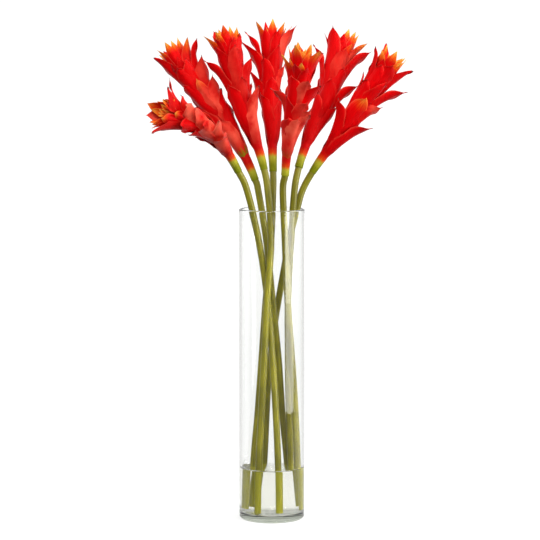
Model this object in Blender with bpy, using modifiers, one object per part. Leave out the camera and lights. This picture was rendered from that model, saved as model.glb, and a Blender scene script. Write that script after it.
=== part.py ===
"""Seven red bromeliad flowers on long stems, in a tall clear cylinder vase with a little clear water.

Units are metres and +Z is up. The origin is the centre of the vase's flat underside, and -Y is the front.
"""
import math
import random
from dataclasses import dataclass

import bmesh
import bpy
from mathutils import Vector

# Driving dimensions of the vase and the water
VASE_HEIGHT = 0.4572
VASE_RADIUS = 0.0477
VASE_WALL = 0.0035
VASE_FLOOR = 0.0100
FOOT_ROUNDING = 0.0040
CORNER_ROUNDING = 0.0030
RIM_SWELL = 0.0006
RIM_DROP = 0.0100
WATER_LEVEL = 0.0748
TURNED_STEPS = 36
CORNER_STEPS = 3
RIM_STEPS = 6

# Driving dimensions of the flowers
STEM_RADIUS = 0.0049
STEM_POINTS = 16
SLEEVE_RADIUS = 0.0064
SOCKET_DEPTH = 0.0120
SINK = 0.0010
LAYER = 0.0012
ROOT_THICKNESS = 0.0046
BRACT_THICKNESS = 0.0013
TUFT_THICKNESS = 0.0012
THIN_SHARE = 0.66
ROOT_FOLD = 0.0135
TIP_FOLD = 0.0060

# The ring of bracts round each crown, with the ranges that its seeded draws come from
CROWN_COUNT = 6
CROWN_DEPTH = 0.0560
CROWN_ROOT = (0.0740, 0.0820)
CROWN_TIP = (-0.0100, 0.0030)
CROWN_REACH = (0.0210, 0.0270)
CROWN_WIDTH = (0.0150, 0.0165)
CROWN_SWAY = 6.0

# The small bracts of the tuft inside it, from the innermost to the outermost
TUFT_COUNT = 6
TUFT_ROOT = 0.0040
TUFT_TIP = (-0.0060, -0.0140)
TUFT_REACH = (0.0040, 0.0150)
TUFT_WIDTH = 0.0062
TUFT_SWAY = 5.0
GOLDEN_ANGLE = 137.5

# Clearance between separate pieces
GAP = 0.0003

# Points closer than this are one point, and edges turned by more than this many degrees are sharp
SAME_POINT = 0.0000001
SHARP_ANGLE = 40.0

# Radius of a head's core, as pairs of distance from the collar and radius
HEAD_PROFILE = (
    (0.000, SLEEVE_RADIUS),
    (0.022, 0.0067),
    (0.040, 0.0078),
    (0.060, 0.0096),
    (0.080, 0.0112),
    (0.110, 0.0124),
    (0.150, 0.0130),
    (0.250, 0.0144),
)
CORE_RINGS = 8
SEAT_STEP = 0.001

# Radius of the tuft's plug, as pairs of distance from its flat base and radius
PLUG_PROFILE = (
    (0.000, 0.0070),
    (0.001, 0.0070),
    (0.018, 0.0050),
    (0.030, 0.0012),
)

# Shape of a blade from root to tip, as pairs of the share of its length and the share of its width
BRACT_OUTLINE = ((0.00, 0.80), (0.40, 1.00), (0.70, 0.78), (0.88, 0.36), (1.00, 0.0))
CROWN_OUTLINE = ((0.00, 0.80), (0.45, 1.00), (0.76, 0.82), (0.90, 0.40), (1.00, 0.0))
TUFT_OUTLINE = ((0.00, 0.80), (0.62, 1.00), (1.00, 0.0))

# A blade lifts off the core within this share of its length, and then flares with this power
LIFT_SHARE = 0.18
FLARE_POWER = 2.6
TIP_SLOWING = 0.30

FRONT = Vector((0.0, -1.0, 0.0))


@dataclass(frozen=True)
class Bract:
    """One bract: root and tip are distances from the collar, turn is degrees round the head.

    A turn of 0 is to the right as seen from the front, 90 is the front, 180 the left and 270 the back.
    Reach is how far the tip ends from the head's centre line.
    """

    root: float
    tip: float
    reach: float
    turn: float
    width: float


@dataclass(frozen=True)
class Flower:
    """One flower: its centre line from the lower end of the stem to the crown, and its flared bracts.

    The first points of the route, up to collar, belong to the stem, and the rest to the head.
    """

    name: str
    collar: int
    length: float
    crown_turn: float
    route: tuple
    bracts: tuple


FLOWERS = (
    Flower(
        name="left_low",
        collar=7,
        length=0.188,
        crown_turn=12.0,
        route=(
            (0.010, -0.026, 0.0125),
            (0.009, -0.024, 0.085),
            (0.006, -0.021, 0.158),
            (0.001, -0.016, 0.238),
            (-0.006, -0.010, 0.323),
            (-0.019, -0.015, 0.413),
            (-0.036, -0.027, 0.486),
            (-0.048, -0.033, 0.513),
            (-0.062, -0.043, 0.539),
            (-0.080, -0.058, 0.563),
            (-0.107, -0.084, 0.584),
            (-0.159, -0.129, 0.605),
        ),
        bracts=(
            Bract(0.047, 0.094, 0.024, 205.0, 0.014),
            Bract(0.066, 0.124, 0.027, 55.0, 0.020),
            Bract(0.082, 0.140, 0.031, 100.0, 0.020),
            Bract(0.099, 0.155, 0.032, 40.0, 0.019),
            Bract(0.116, 0.174, 0.049, 12.0, 0.016),
            Bract(0.118, 0.180, 0.036, 165.0, 0.017),
            Bract(0.103, 0.160, 0.022, 135.0, 0.019),
            Bract(0.061, 0.118, 0.024, 320.0, 0.017),
        ),
    ),
    Flower(
        name="left_top",
        collar=7,
        length=0.236,
        crown_turn=5.0,
        route=(
            (0.026, 0.024, 0.021),
            (0.023, 0.023, 0.077),
            (0.016, 0.018, 0.151),
            (0.010, 0.009, 0.235),
            (0.001, 0.003, 0.323),
            (-0.008, 0.004, 0.411),
            (-0.020, 0.009, 0.484),
            (-0.024, 0.010, 0.498),
            (-0.034, 0.013, 0.522),
            (-0.051, 0.017, 0.554),
            (-0.074, 0.023, 0.587),
            (-0.102, 0.029, 0.623),
            (-0.132, 0.035, 0.663),
            (-0.148, 0.039, 0.689),
        ),
        bracts=(
            Bract(0.046, 0.101, 0.016, 95.0, 0.022),
            Bract(0.065, 0.120, 0.026, 28.0, 0.019),
            Bract(0.089, 0.140, 0.029, 345.0, 0.013),
            Bract(0.101, 0.158, 0.026, 40.0, 0.020),
            Bract(0.134, 0.194, 0.038, 22.0, 0.018),
            Bract(0.139, 0.190, 0.026, 50.0, 0.019),
            Bract(0.170, 0.223, 0.044, 345.0, 0.012),
            Bract(0.082, 0.140, 0.018, 170.0, 0.020),
            Bract(0.132, 0.190, 0.019, 135.0, 0.021),
        ),
    ),
    Flower(
        name="mid_left",
        collar=7,
        length=0.214,
        crown_turn=20.0,
        route=(
            (-0.019, -0.030, 0.0125),
            (-0.018, -0.029, 0.091),
            (-0.015, -0.027, 0.159),
            (-0.011, -0.026, 0.240),
            (-0.007, -0.023, 0.324),
            (-0.001, -0.015, 0.413),
            (-0.006, -0.005, 0.485),
            (-0.011, 0.000, 0.514),
            (-0.019, 0.004, 0.543),
            (-0.030, 0.007, 0.572),
            (-0.041, 0.009, 0.601),
            (-0.056, 0.011, 0.662),
            (-0.066, 0.012, 0.708),
        ),
        bracts=(
            Bract(0.057, 0.121, 0.034, 28.0, 0.020),
            Bract(0.067, 0.120, 0.016, 150.0, 0.021),
            Bract(0.111, 0.166, 0.032, 335.0, 0.020),
            Bract(0.112, 0.173, 0.042, 165.0, 0.018),
            Bract(0.105, 0.160, 0.018, 70.0, 0.020),
            Bract(0.141, 0.196, 0.020, 105.0, 0.020),
            Bract(0.147, 0.208, 0.034, 172.0, 0.015),
        ),
    ),
    Flower(
        name="centre_back",
        collar=7,
        length=0.222,
        crown_turn=0.0,
        route=(
            (-0.030, 0.003, 0.014),
            (-0.027, 0.004, 0.085),
            (-0.021, 0.006, 0.153),
            (-0.015, 0.009, 0.235),
            (-0.009, 0.012, 0.320),
            (-0.001, 0.017, 0.410),
            (0.002, 0.026, 0.483),
            (0.002, 0.032, 0.509),
            (0.001, 0.040, 0.541),
            (0.001, 0.047, 0.570),
            (-0.002, 0.060, 0.628),
            (0.000, 0.067, 0.672),
            (0.000, 0.072, 0.716),
        ),
        bracts=(
            Bract(0.091, 0.146, 0.032, 205.0, 0.017),
            Bract(0.128, 0.191, 0.046, 165.0, 0.018),
            Bract(0.155, 0.209, 0.040, 195.0, 0.013),
            Bract(0.055, 0.110, 0.018, 20.0, 0.021),
            Bract(0.082, 0.140, 0.019, 100.0, 0.022),
            Bract(0.127, 0.185, 0.021, 70.0, 0.021),
            Bract(0.161, 0.216, 0.039, 15.0, 0.018),
        ),
    ),
    Flower(
        name="centre_front",
        collar=7,
        length=0.196,
        crown_turn=30.0,
        route=(
            (0.038, -0.006, 0.0135),
            (0.037, -0.008, 0.087),
            (0.033, -0.010, 0.177),
            (0.028, -0.011, 0.251),
            (0.023, -0.013, 0.325),
            (0.019, -0.017, 0.413),
            (0.016, -0.026, 0.486),
            (0.019, -0.030, 0.507),
            (0.021, -0.036, 0.533),
            (0.025, -0.044, 0.562),
            (0.030, -0.053, 0.593),
            (0.037, -0.063, 0.627),
            (0.045, -0.080, 0.689),
        ),
        bracts=(
            Bract(0.047, 0.098, 0.016, 65.0, 0.021),
            Bract(0.061, 0.112, 0.028, 25.0, 0.016),
            Bract(0.077, 0.128, 0.026, 48.0, 0.018),
            Bract(0.088, 0.138, 0.033, 15.0, 0.019),
            Bract(0.086, 0.131, 0.045, 165.0, 0.013),
            Bract(0.080, 0.135, 0.020, 130.0, 0.020),
            Bract(0.114, 0.165, 0.024, 80.0, 0.020),
            Bract(0.126, 0.184, 0.032, 165.0, 0.014),
            Bract(0.138, 0.192, 0.027, 25.0, 0.019),
        ),
    ),
    Flower(
        name="mid_right",
        collar=7,
        length=0.212,
        crown_turn=10.0,
        route=(
            (0.029, 0.012, 0.0165),
            (0.028, 0.011, 0.083),
            (0.025, 0.008, 0.174),
            (0.024, 0.005, 0.248),
            (0.024, 0.002, 0.323),
            (0.028, -0.003, 0.412),
            (0.033, -0.006, 0.485),
            (0.039, -0.003, 0.517),
            (0.047, 0.003, 0.543),
            (0.058, 0.011, 0.571),
            (0.072, 0.019, 0.600),
            (0.085, 0.027, 0.632),
            (0.108, 0.043, 0.706),
        ),
        bracts=(
            Bract(0.051, 0.104, 0.020, 25.0, 0.020),
            Bract(0.091, 0.143, 0.042, 12.0, 0.015),
            Bract(0.082, 0.140, 0.017, 110.0, 0.021),
            Bract(0.133, 0.208, 0.025, 150.0, 0.021),
            Bract(0.122, 0.183, 0.044, 205.0, 0.014),
            Bract(0.133, 0.195, 0.045, 350.0, 0.015),
            Bract(0.150, 0.205, 0.036, 20.0, 0.015),
            Bract(0.125, 0.180, 0.019, 65.0, 0.020),
        ),
    ),
    Flower(
        name="right",
        collar=9,
        length=0.212,
        crown_turn=15.0,
        route=(
            (-0.016, 0.030, 0.0135),
            (-0.011, 0.029, 0.084),
            (-0.006, 0.025, 0.186),
            (-0.002, 0.022, 0.231),
            (0.003, 0.019, 0.276),
            (0.010, 0.016, 0.321),
            (0.026, 0.010, 0.410),
            (0.037, 0.008, 0.456),
            (0.045, 0.008, 0.484),
            (0.059, 0.006, 0.510),
            (0.080, 0.003, 0.541),
            (0.105, -0.002, 0.576),
            (0.128, -0.007, 0.609),
            (0.149, -0.011, 0.637),
            (0.176, -0.016, 0.679),
        ),
        bracts=(
            Bract(0.047, 0.105, 0.037, 20.0, 0.020),
            Bract(0.061, 0.112, 0.034, 155.0, 0.019),
            Bract(0.087, 0.139, 0.030, 25.0, 0.017),
            Bract(0.110, 0.170, 0.044, 345.0, 0.016),
            Bract(0.102, 0.163, 0.025, 165.0, 0.018),
            Bract(0.090, 0.145, 0.017, 85.0, 0.021),
            Bract(0.126, 0.182, 0.022, 155.0, 0.018),
            Bract(0.135, 0.188, 0.019, 75.0, 0.020),
            Bract(0.150, 0.204, 0.036, 15.0, 0.018),
        ),
    ),
)

# Every head has these at its back: roots as shares of the head's length, with degrees round it
BACK_BRACTS = ((0.26, 265.0), (0.42, 305.0), (0.55, 245.0))
BACK_SPAN = (0.255, 0.290)
BACK_REACH = (0.021, 0.034)
BACK_WIDTH = (0.016, 0.019)
BACK_SWAY = 12.0


class Route:
    """A smooth curve through a flower's points, read by the distance from its lower end."""

    STEPS = 12

    def __init__(self, points):
        """Samples a Catmull-Rom curve through the points and measures it."""
        knots = [Vector(point) for point in points]
        knots.insert(0, knots[0] * 2.0 - knots[1])
        knots.append(knots[-1] * 2.0 - knots[-2])
        self.samples = []
        for before, start, end, after in zip(knots, knots[1:], knots[2:], knots[3:]):
            for step in range(self.STEPS):
                self.samples.append(self.blend(before, start, end, after, step / self.STEPS))
        self.samples.append(knots[-2])
        self.distances = [0.0]
        for near, far in zip(self.samples, self.samples[1:]):
            self.distances.append(self.distances[-1] + (far - near).length)

    @staticmethod
    def blend(before, start, end, after, share):
        """Returns the point at a share of the way from start to end."""
        slope = (end - before) * 0.5
        next_slope = (after - start) * 0.5
        cubed = share ** 3
        squared = share ** 2
        return (
            start * (2.0 * cubed - 3.0 * squared + 1.0)
            + slope * (cubed - 2.0 * squared + share)
            + end * (3.0 * squared - 2.0 * cubed)
            + next_slope * (cubed - squared)
        )

    def knot_distance(self, index):
        """Returns how far along the curve one of the given points lies."""
        return self.distances[index * self.STEPS]

    def place(self, distance):
        """Returns the point at a distance, straight on past either end."""
        last = len(self.distances) - 2
        index = sum(1 for mark in self.distances[1:-1] if mark <= distance)
        index = min(index, last)
        start = self.samples[index]
        heading = (self.samples[index + 1] - start).normalized()
        return start + heading * (distance - self.distances[index])

    def heading(self, distance):
        """Returns the unit direction of the curve at a distance."""
        reach = 0.004
        return (self.place(distance + reach) - self.place(distance - reach)).normalized()


class Head:
    """The centre line of a flower's head, measured from its collar."""

    def __init__(self, flower):
        """Keeps the flower and the curve through its points."""
        self.flower = flower
        self.route = Route(flower.route)
        self.collar = self.route.knot_distance(flower.collar)

    def place(self, distance):
        """Returns the point of the centre line at a distance from the collar."""
        return self.route.place(self.collar + distance)

    def frame(self, distance, turn):
        """Returns the unit vectors along the head, outwards at a turn, and sideways there."""
        along = self.route.heading(self.collar + distance)
        right = along.cross(FRONT).normalized()
        front = right.cross(along)
        angle = math.radians(turn)
        outward = right * math.cos(angle) + front * math.sin(angle)
        sideways = along.cross(outward)
        return along, outward, sideways

    def radius(self, distance):
        """Returns the radius of the head's core at a distance from the collar."""
        return read_profile(HEAD_PROFILE, distance)


class Tuft(Head):
    """The centre line of the tuft inside a head's crown, also measured from the collar."""

    def radius(self, distance):
        """Returns the radius of the tuft's plug at a distance from the collar."""
        return read_profile(PLUG_PROFILE, distance - self.flower.length + CROWN_DEPTH)


def read_profile(profile, distance):
    """Returns the radius that a profile of (distance, radius) pairs gives at a distance."""
    for (near, near_radius), (far, far_radius) in zip(profile, profile[1:]):
        if distance <= far:
            share = max(0.0, (distance - near) / (far - near))
            return near_radius + (far_radius - near_radius) * share
    return profile[-1][1]


def clear_scene():
    """Removes every object that the scene holds."""
    for thing in list(bpy.data.objects):
        bpy.data.objects.remove(thing, do_unlink=True)


def new_collection(name, hidden=False):
    """Adds a collection to the scene."""
    collection = bpy.data.collections.new(name)
    collection.hide_render = hidden
    bpy.context.scene.collection.children.link(collection)
    return collection


def new_material(name, colour, roughness, transmission=0.0, index=1.45):
    """Returns a Principled material."""
    material = bpy.data.materials.new(name)
    material.use_nodes = True
    shader = material.node_tree.nodes["Principled BSDF"]
    shader.inputs["Base Color"].default_value = (*colour, 1.0)
    shader.inputs["Roughness"].default_value = roughness
    shader.inputs["Metallic"].default_value = 0.0
    shader.inputs["Transmission Weight"].default_value = transmission
    shader.inputs["IOR"].default_value = index
    return material


def add_object(name, data, collection, material=None, smooth=True):
    """Links a new object with its data and material."""
    thing = bpy.data.objects.new(name, data)
    collection.objects.link(thing)
    if material:
        data.materials.append(material)
    if smooth and isinstance(data, bpy.types.Mesh):
        data.shade_smooth()
        data.set_sharp_from_angle(angle=math.radians(SHARP_ANGLE))
    return thing


def arc(centre, radius, start, end, steps):
    """Returns points (x, z) of an arc about a centre, angles in degrees."""
    points = []
    for step in range(steps + 1):
        angle = math.radians(start + (end - start) * step / steps)
        points.append((centre[0] + radius * math.cos(angle), centre[1] + radius * math.sin(angle)))
    return points


def turned(name, profile, collection, material):
    """Turns a profile of (x, z) points round the Z axis into a closed solid."""
    mesh = bpy.data.meshes.new(name)
    edges = [(index, index + 1) for index in range(len(profile) - 1)]
    mesh.from_pydata([(x, 0.0, z) for x, z in profile], edges, [])
    thing = add_object(name, mesh, collection, material)
    screw = thing.modifiers.new("turn", "SCREW")
    screw.axis = "Z"
    screw.steps = TURNED_STEPS
    screw.render_steps = TURNED_STEPS
    screw.use_merge_vertices = True
    screw.merge_threshold = SAME_POINT
    return thing


def build_vase(collection, material):
    """Builds the clear cylinder with its thick floor, softly rounded foot and slightly swollen rim."""
    inner = VASE_RADIUS - VASE_WALL
    rim = VASE_WALL / 2.0 + RIM_SWELL
    rim_centre = (VASE_RADIUS - VASE_WALL / 2.0, VASE_HEIGHT - rim)
    profile = [(0.0, VASE_FLOOR)]
    corner = (inner - CORNER_ROUNDING, VASE_FLOOR + CORNER_ROUNDING)
    profile += arc(corner, CORNER_ROUNDING, -90.0, 0.0, CORNER_STEPS)
    profile.append((inner, VASE_HEIGHT - RIM_DROP))
    profile += arc(rim_centre, rim, 180.0, 0.0, RIM_STEPS)
    profile.append((VASE_RADIUS, VASE_HEIGHT - RIM_DROP))
    foot = (VASE_RADIUS - FOOT_ROUNDING, FOOT_ROUNDING)
    profile += arc(foot, FOOT_ROUNDING, 0.0, -90.0, CORNER_STEPS)
    profile.append((0.0, 0.0))
    return turned("vase", profile, collection, material)


def build_water(collection, material):
    """Builds the clear water as a plain turned solid, a hair clear of the glass."""
    radius = VASE_RADIUS - VASE_WALL - GAP
    corner = (VASE_RADIUS - VASE_WALL - CORNER_ROUNDING, VASE_FLOOR + CORNER_ROUNDING)
    profile = [(0.0, WATER_LEVEL), (radius, WATER_LEVEL)]
    profile += arc(corner, CORNER_ROUNDING - GAP, 0.0, -90.0, CORNER_STEPS)
    profile.append((0.0, VASE_FLOOR + GAP))
    return turned("water", profile, collection, material)


def sweep(name, places, radii, collection, material=None):
    """Builds a tube curve with filled caps through places, with its own radius at each."""
    curve = bpy.data.curves.new(name, "CURVE")
    curve.dimensions = "3D"
    curve.bevel_depth = 1.0
    curve.bevel_resolution = 2
    curve.use_fill_caps = True
    spline = curve.splines.new("POLY")
    spline.points.add(len(places) - 1)
    for point, place, radius in zip(spline.points, places, radii):
        point.co = (*place, 1.0)
        point.radius = radius
    return add_object(name, curve, collection, material)


def as_mesh(curve_object, collection):
    """Replaces a curve object by a mesh object of the same name with welded caps."""
    name = curve_object.name
    graph = bpy.context.evaluated_depsgraph_get()
    mesh = bpy.data.meshes.new_from_object(curve_object.evaluated_get(graph))
    matrix = curve_object.matrix_world.copy()
    bpy.data.objects.remove(curve_object, do_unlink=True)
    shape = bmesh.new()
    shape.from_mesh(mesh)
    bmesh.ops.remove_doubles(shape, verts=shape.verts, dist=SAME_POINT)
    bmesh.ops.recalc_face_normals(shape, faces=shape.faces)
    shape.to_mesh(mesh)
    shape.free()
    thing = add_object(name, mesh, collection, smooth=False)
    thing.matrix_world = matrix
    return thing


def stem_places(head, gap):
    """Returns evenly spaced points from a stem's cut lower end into its socket, with a gap past either end."""
    end = head.collar + SOCKET_DEPTH - GAP
    distances = [end * step / (STEM_POINTS - 1) for step in range(STEM_POINTS)]
    distances[0] -= gap
    distances[-1] += gap
    return [head.route.place(distance) for distance in distances]


def build_stem(head, collection, material):
    """Builds a stem from its cut lower end into the socket of its head."""
    radii = [STEM_RADIUS] * STEM_POINTS
    return sweep("stem_" + head.flower.name, stem_places(head, 0.0), radii, collection, material)


def build_stem_room(head, cutters):
    """Builds the space that a stem needs, which is cut from the water and from its head."""
    radii = [STEM_RADIUS + GAP] * STEM_POINTS
    room = as_mesh(sweep("room_" + head.flower.name, stem_places(head, GAP), radii, cutters), cutters)
    room.hide_render = True
    room.display_type = "WIRE"
    return room


def cut(thing, cutter):
    """Cuts one object out of another."""
    modifier = thing.modifiers.new("cut_" + cutter.name, "BOOLEAN")
    modifier.operation = "DIFFERENCE"
    modifier.object = cutter


def blade_middle(head, bract, share):
    """Returns the middle of a blade at a share of its length, and the unit vectors sideways and outwards."""
    distance = bract.root + (bract.tip - bract.root) * (share + TIP_SLOWING * share * (1.0 - share))
    flare = bract.reach - head.radius(bract.tip) - LAYER
    lift = (LAYER + SINK) * min(1.0, share / LIFT_SHARE) - SINK
    lift += flare * max(0.0, share) ** FLARE_POWER
    _, outward, sideways = head.frame(distance, bract.turn)
    return head.place(distance) + outward * (head.radius(distance) + lift), sideways, outward


def blade_section(head, bract, share, width_share, thickness):
    """Returns the four points of a blade's section: left edge, outer middle, right edge, inner middle."""
    step = 0.02
    thickness += (ROOT_THICKNESS - thickness) * max(0.0, 1.0 - share / THIN_SHARE)
    place, sideways, outward = blade_middle(head, bract, share)
    ahead = blade_middle(head, bract, share + step)[0]
    behind = blade_middle(head, bract, share - step)[0]
    normal = (ahead - behind).cross(sideways).normalized()
    if normal.dot(outward) < 0.0:
        normal.negate()
    fold = ROOT_FOLD + (TIP_FOLD - ROOT_FOLD) * share
    angle = bract.width * 0.5 * width_share / fold
    side = sideways * (fold * math.sin(angle))
    edge_drop = normal * (fold * (1.0 - math.cos(angle)))
    depth = normal * thickness
    return place - side - edge_drop, place, place + side - edge_drop, place - depth


def blade_mesh(name, head, bract, outline, thickness):
    """Lofts one blade: a keeled leaf, folded round the head, that ends in a point.

    Both faces are split into triangles alike, so that they can't cross.
    """
    shape = bmesh.new()
    rings = []
    for share, width_share in outline[:-1]:
        section = blade_section(head, bract, share, width_share, thickness)
        rings.append([shape.verts.new(point) for point in section])
    tip = shape.verts.new(blade_middle(head, bract, 1.0)[0])
    outer, inner = 1, 3
    for lower, upper in zip(rings, rings[1:]):
        for edge in (0, 2):
            for middle in (outer, inner):
                shape.faces.new((lower[edge], lower[middle], upper[middle]))
                shape.faces.new((lower[edge], upper[middle], upper[edge]))
    for edge in (0, 2):
        for middle in (outer, inner):
            shape.faces.new((rings[-1][edge], rings[-1][middle], tip))
        shape.faces.new((rings[0][edge], rings[0][outer], rings[0][inner]))
    bmesh.ops.recalc_face_normals(shape, faces=shape.faces)
    mesh = bpy.data.meshes.new(name)
    shape.to_mesh(mesh)
    shape.free()
    return mesh


def back_bracts(flower, draw):
    """Returns the bracts at the back of a head, from a rule with small seeded changes."""
    bracts = []
    for share, turn in BACK_BRACTS:
        root = flower.length * share
        bracts.append(Bract(
            root=root,
            tip=root + flower.length * draw.uniform(*BACK_SPAN),
            reach=draw.uniform(*BACK_REACH),
            turn=turn + draw.uniform(-BACK_SWAY, BACK_SWAY),
            width=draw.uniform(*BACK_WIDTH),
        ))
    return bracts


def crown_bracts(flower, draw):
    """Returns the ring of short bracts round the crown of a head."""
    bracts = []
    for index in range(CROWN_COUNT):
        bracts.append(Bract(
            root=flower.length - draw.uniform(*CROWN_ROOT),
            tip=flower.length + draw.uniform(*CROWN_TIP),
            reach=draw.uniform(*CROWN_REACH),
            turn=flower.crown_turn + 360.0 * index / CROWN_COUNT + draw.uniform(-CROWN_SWAY, CROWN_SWAY),
            width=draw.uniform(*CROWN_WIDTH),
        ))
    return bracts


def tuft_bracts(flower, draw):
    """Returns the small bracts inside the crown, round a head's centre by the golden angle."""
    bracts = []
    for index in range(TUFT_COUNT):
        share = index / (TUFT_COUNT - 1)
        bracts.append(Bract(
            root=flower.length - CROWN_DEPTH + TUFT_ROOT,
            tip=flower.length + TUFT_TIP[0] + (TUFT_TIP[1] - TUFT_TIP[0]) * share,
            reach=TUFT_REACH[0] + (TUFT_REACH[1] - TUFT_REACH[0]) * share,
            turn=flower.crown_turn + GOLDEN_ANGLE * index + draw.uniform(-TUFT_SWAY, TUFT_SWAY),
            width=TUFT_WIDTH,
        ))
    return bracts


def unite(base, pieces):
    """Joins the objects of a collection to a base object, applies it and removes the collection's objects."""
    union = base.modifiers.new("join", "BOOLEAN")
    union.operation = "UNION"
    union.operand_type = "COLLECTION"
    union.collection = pieces
    union.solver = "MANIFOLD"
    settle(base)
    for piece in list(pieces.objects):
        bpy.data.objects.remove(piece, do_unlink=True)
    bpy.data.collections.remove(pieces)


def settle(thing):
    """Applies an object's modifiers and keeps only its largest body, without sealed hollows or scraps."""
    graph = bpy.context.evaluated_depsgraph_get()
    mesh = bpy.data.meshes.new_from_object(thing.evaluated_get(graph))
    thing.modifiers.clear()
    shape = bmesh.new()
    shape.from_mesh(mesh)
    bmesh.ops.remove_doubles(shape, verts=shape.verts, dist=SAME_POINT)
    bmesh.ops.triangulate(shape, faces=shape.faces)
    keep_largest_body(shape)
    shape.to_mesh(mesh)
    shape.free()
    mesh.shade_smooth()
    mesh.set_sharp_from_angle(angle=math.radians(SHARP_ANGLE))
    thing.data = mesh


def keep_largest_body(shape):
    """Deletes every connected shell of a mesh but the one that holds the most space."""
    shape.faces.ensure_lookup_table()
    unseen = set(shape.faces)
    shells = []
    while unseen:
        seed = unseen.pop()
        shell = [seed]
        queue = [seed]
        while queue:
            face = queue.pop()
            for edge in face.edges:
                for neighbour in edge.link_faces:
                    if neighbour in unseen:
                        unseen.remove(neighbour)
                        shell.append(neighbour)
                        queue.append(neighbour)
        shells.append(shell)
    shells.sort(key=shell_volume)
    for shell in shells[:-1]:
        bmesh.ops.delete(shape, geom=shell, context="FACES")


def shell_volume(shell):
    """Returns the signed volume inside a shell of triangles."""
    total = 0.0
    for face in shell:
        first, second, third = (vertex.co for vertex in face.verts)
        total += first.cross(second).dot(third) / 6.0
    return total


def build_head(head, draw, room, collection, material):
    """Builds a head: a core with a socket for its stem, and the bracts that grow from it."""
    flower = head.flower
    top = flower.length - CROWN_DEPTH
    distances = [top * index / (CORE_RINGS - 1) for index in range(CORE_RINGS)]
    distances.insert(-1, top - SEAT_STEP)
    places = [head.place(distance) for distance in distances]
    radii = [head.radius(distance) for distance in distances]
    core = as_mesh(sweep("head_" + flower.name, places, radii, collection), collection)
    core.data.materials.append(material)
    pieces = new_collection("bracts_" + flower.name)
    sheath = list(flower.bracts) + back_bracts(flower, draw)
    for index, bract in enumerate(sheath):
        name = f"bract_{index}"
        add_object(name, blade_mesh(name, head, bract, BRACT_OUTLINE, BRACT_THICKNESS), pieces)
    for index, bract in enumerate(crown_bracts(flower, draw)):
        name = f"crown_bract_{index}"
        add_object(name, blade_mesh(name, head, bract, CROWN_OUTLINE, BRACT_THICKNESS), pieces)
    unite(core, pieces)
    cut(core, room)
    return core


def build_tuft(tuft, draw, collection, material):
    """Builds the orange tuft: a small plug on the core with short bracts on it."""
    flower = tuft.flower
    base = flower.length - CROWN_DEPTH + GAP
    places = [tuft.place(base + height) for height, _ in PLUG_PROFILE]
    radii = [radius for _, radius in PLUG_PROFILE]
    plug = as_mesh(sweep("tuft_" + flower.name, places, radii, collection), collection)
    plug.data.materials.append(material)
    pieces = new_collection("tuft_bracts_" + flower.name)
    for index, bract in enumerate(tuft_bracts(flower, draw)):
        name = f"tuft_bract_{index}"
        add_object(name, blade_mesh(name, tuft, bract, TUFT_OUTLINE, TUFT_THICKNESS), pieces)
    unite(plug, pieces)
    return plug


def main():
    """Builds the vase, the water and the seven flowers."""
    clear_scene()
    pieces = new_collection("bromeliad_arrangement")
    cutters = new_collection("cutters", hidden=True)
    glass = new_material("clear_glass", (0.97, 0.98, 0.98), 0.02, transmission=1.0, index=1.5)
    water_finish = new_material("clear_water", (0.98, 0.99, 0.97), 0.0, transmission=1.0, index=1.33)
    green = new_material("stem_green", (0.20, 0.19, 0.02), 0.45)
    red = new_material("bract_red", (0.62, 0.005, 0.008), 0.5)
    orange = new_material("tuft_orange", (0.85, 0.20, 0.02), 0.5)
    vase = build_vase(pieces, glass)
    water = build_water(pieces, water_finish)
    draw = random.Random(7)
    for flower in FLOWERS:
        head = Head(flower)
        build_stem(head, pieces, green)
        room = build_stem_room(head, cutters)
        cut(water, room)
        build_head(head, draw, room, pieces, red)
        build_tuft(Tuft(flower), draw, pieces, orange)
    arrangement = bpy.data.objects.new("arrangement", None)
    pieces.objects.link(arrangement)
    for thing in pieces.objects:
        if thing not in (arrangement, vase):
            thing.parent = vase
    vase.parent = arrangement


main()
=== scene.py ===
"""Visual model of seven red bromeliad flowers on long stems, standing in a tall clear glass vase.

Units are metres and +Z is up. The origin is the centre of the vase's flat underside, and -Y is the front.
"""
import logging
import math
import random
from dataclasses import asdict, dataclass, field, replace
from enum import Enum

import bmesh
import bpy
from mathutils import Matrix, Vector
from mathutils.geometry import interpolate_bezier


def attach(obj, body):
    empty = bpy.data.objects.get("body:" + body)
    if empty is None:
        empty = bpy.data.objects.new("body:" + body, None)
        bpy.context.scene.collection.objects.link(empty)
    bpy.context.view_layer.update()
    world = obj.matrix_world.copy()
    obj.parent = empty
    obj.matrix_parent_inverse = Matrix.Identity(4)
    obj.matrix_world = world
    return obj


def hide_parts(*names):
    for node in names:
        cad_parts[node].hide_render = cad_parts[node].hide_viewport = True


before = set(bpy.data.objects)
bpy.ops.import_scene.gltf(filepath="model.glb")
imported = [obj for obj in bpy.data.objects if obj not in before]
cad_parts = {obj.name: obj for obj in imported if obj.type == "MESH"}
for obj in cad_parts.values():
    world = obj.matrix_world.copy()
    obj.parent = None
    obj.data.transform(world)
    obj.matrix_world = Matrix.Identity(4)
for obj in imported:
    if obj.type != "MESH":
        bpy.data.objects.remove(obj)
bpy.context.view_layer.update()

LOG = logging.getLogger("bromeliads")
FRONT = Vector((0.0, -1.0, 0.0))
BODY = "root"
WATERLINE = 0.0748

Point = tuple[float, float, float]
Colour = tuple[float, float, float]
Profile = tuple[tuple[float, float], ...]
Socket = bpy.types.NodeSocket
Material = bpy.types.Material
Shape = bmesh.types.BMesh


def blend(low: float, high: float, share: float) -> float:
    """Returns the value at a share of the way from low to high."""
    return low + (high - low) * share


def ease(share: float) -> float:
    """Returns a share of 0 to 1 with a soft start and end, held inside that range."""
    held = min(1.0, max(0.0, share))
    return held * held * (3.0 - 2.0 * held)


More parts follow.
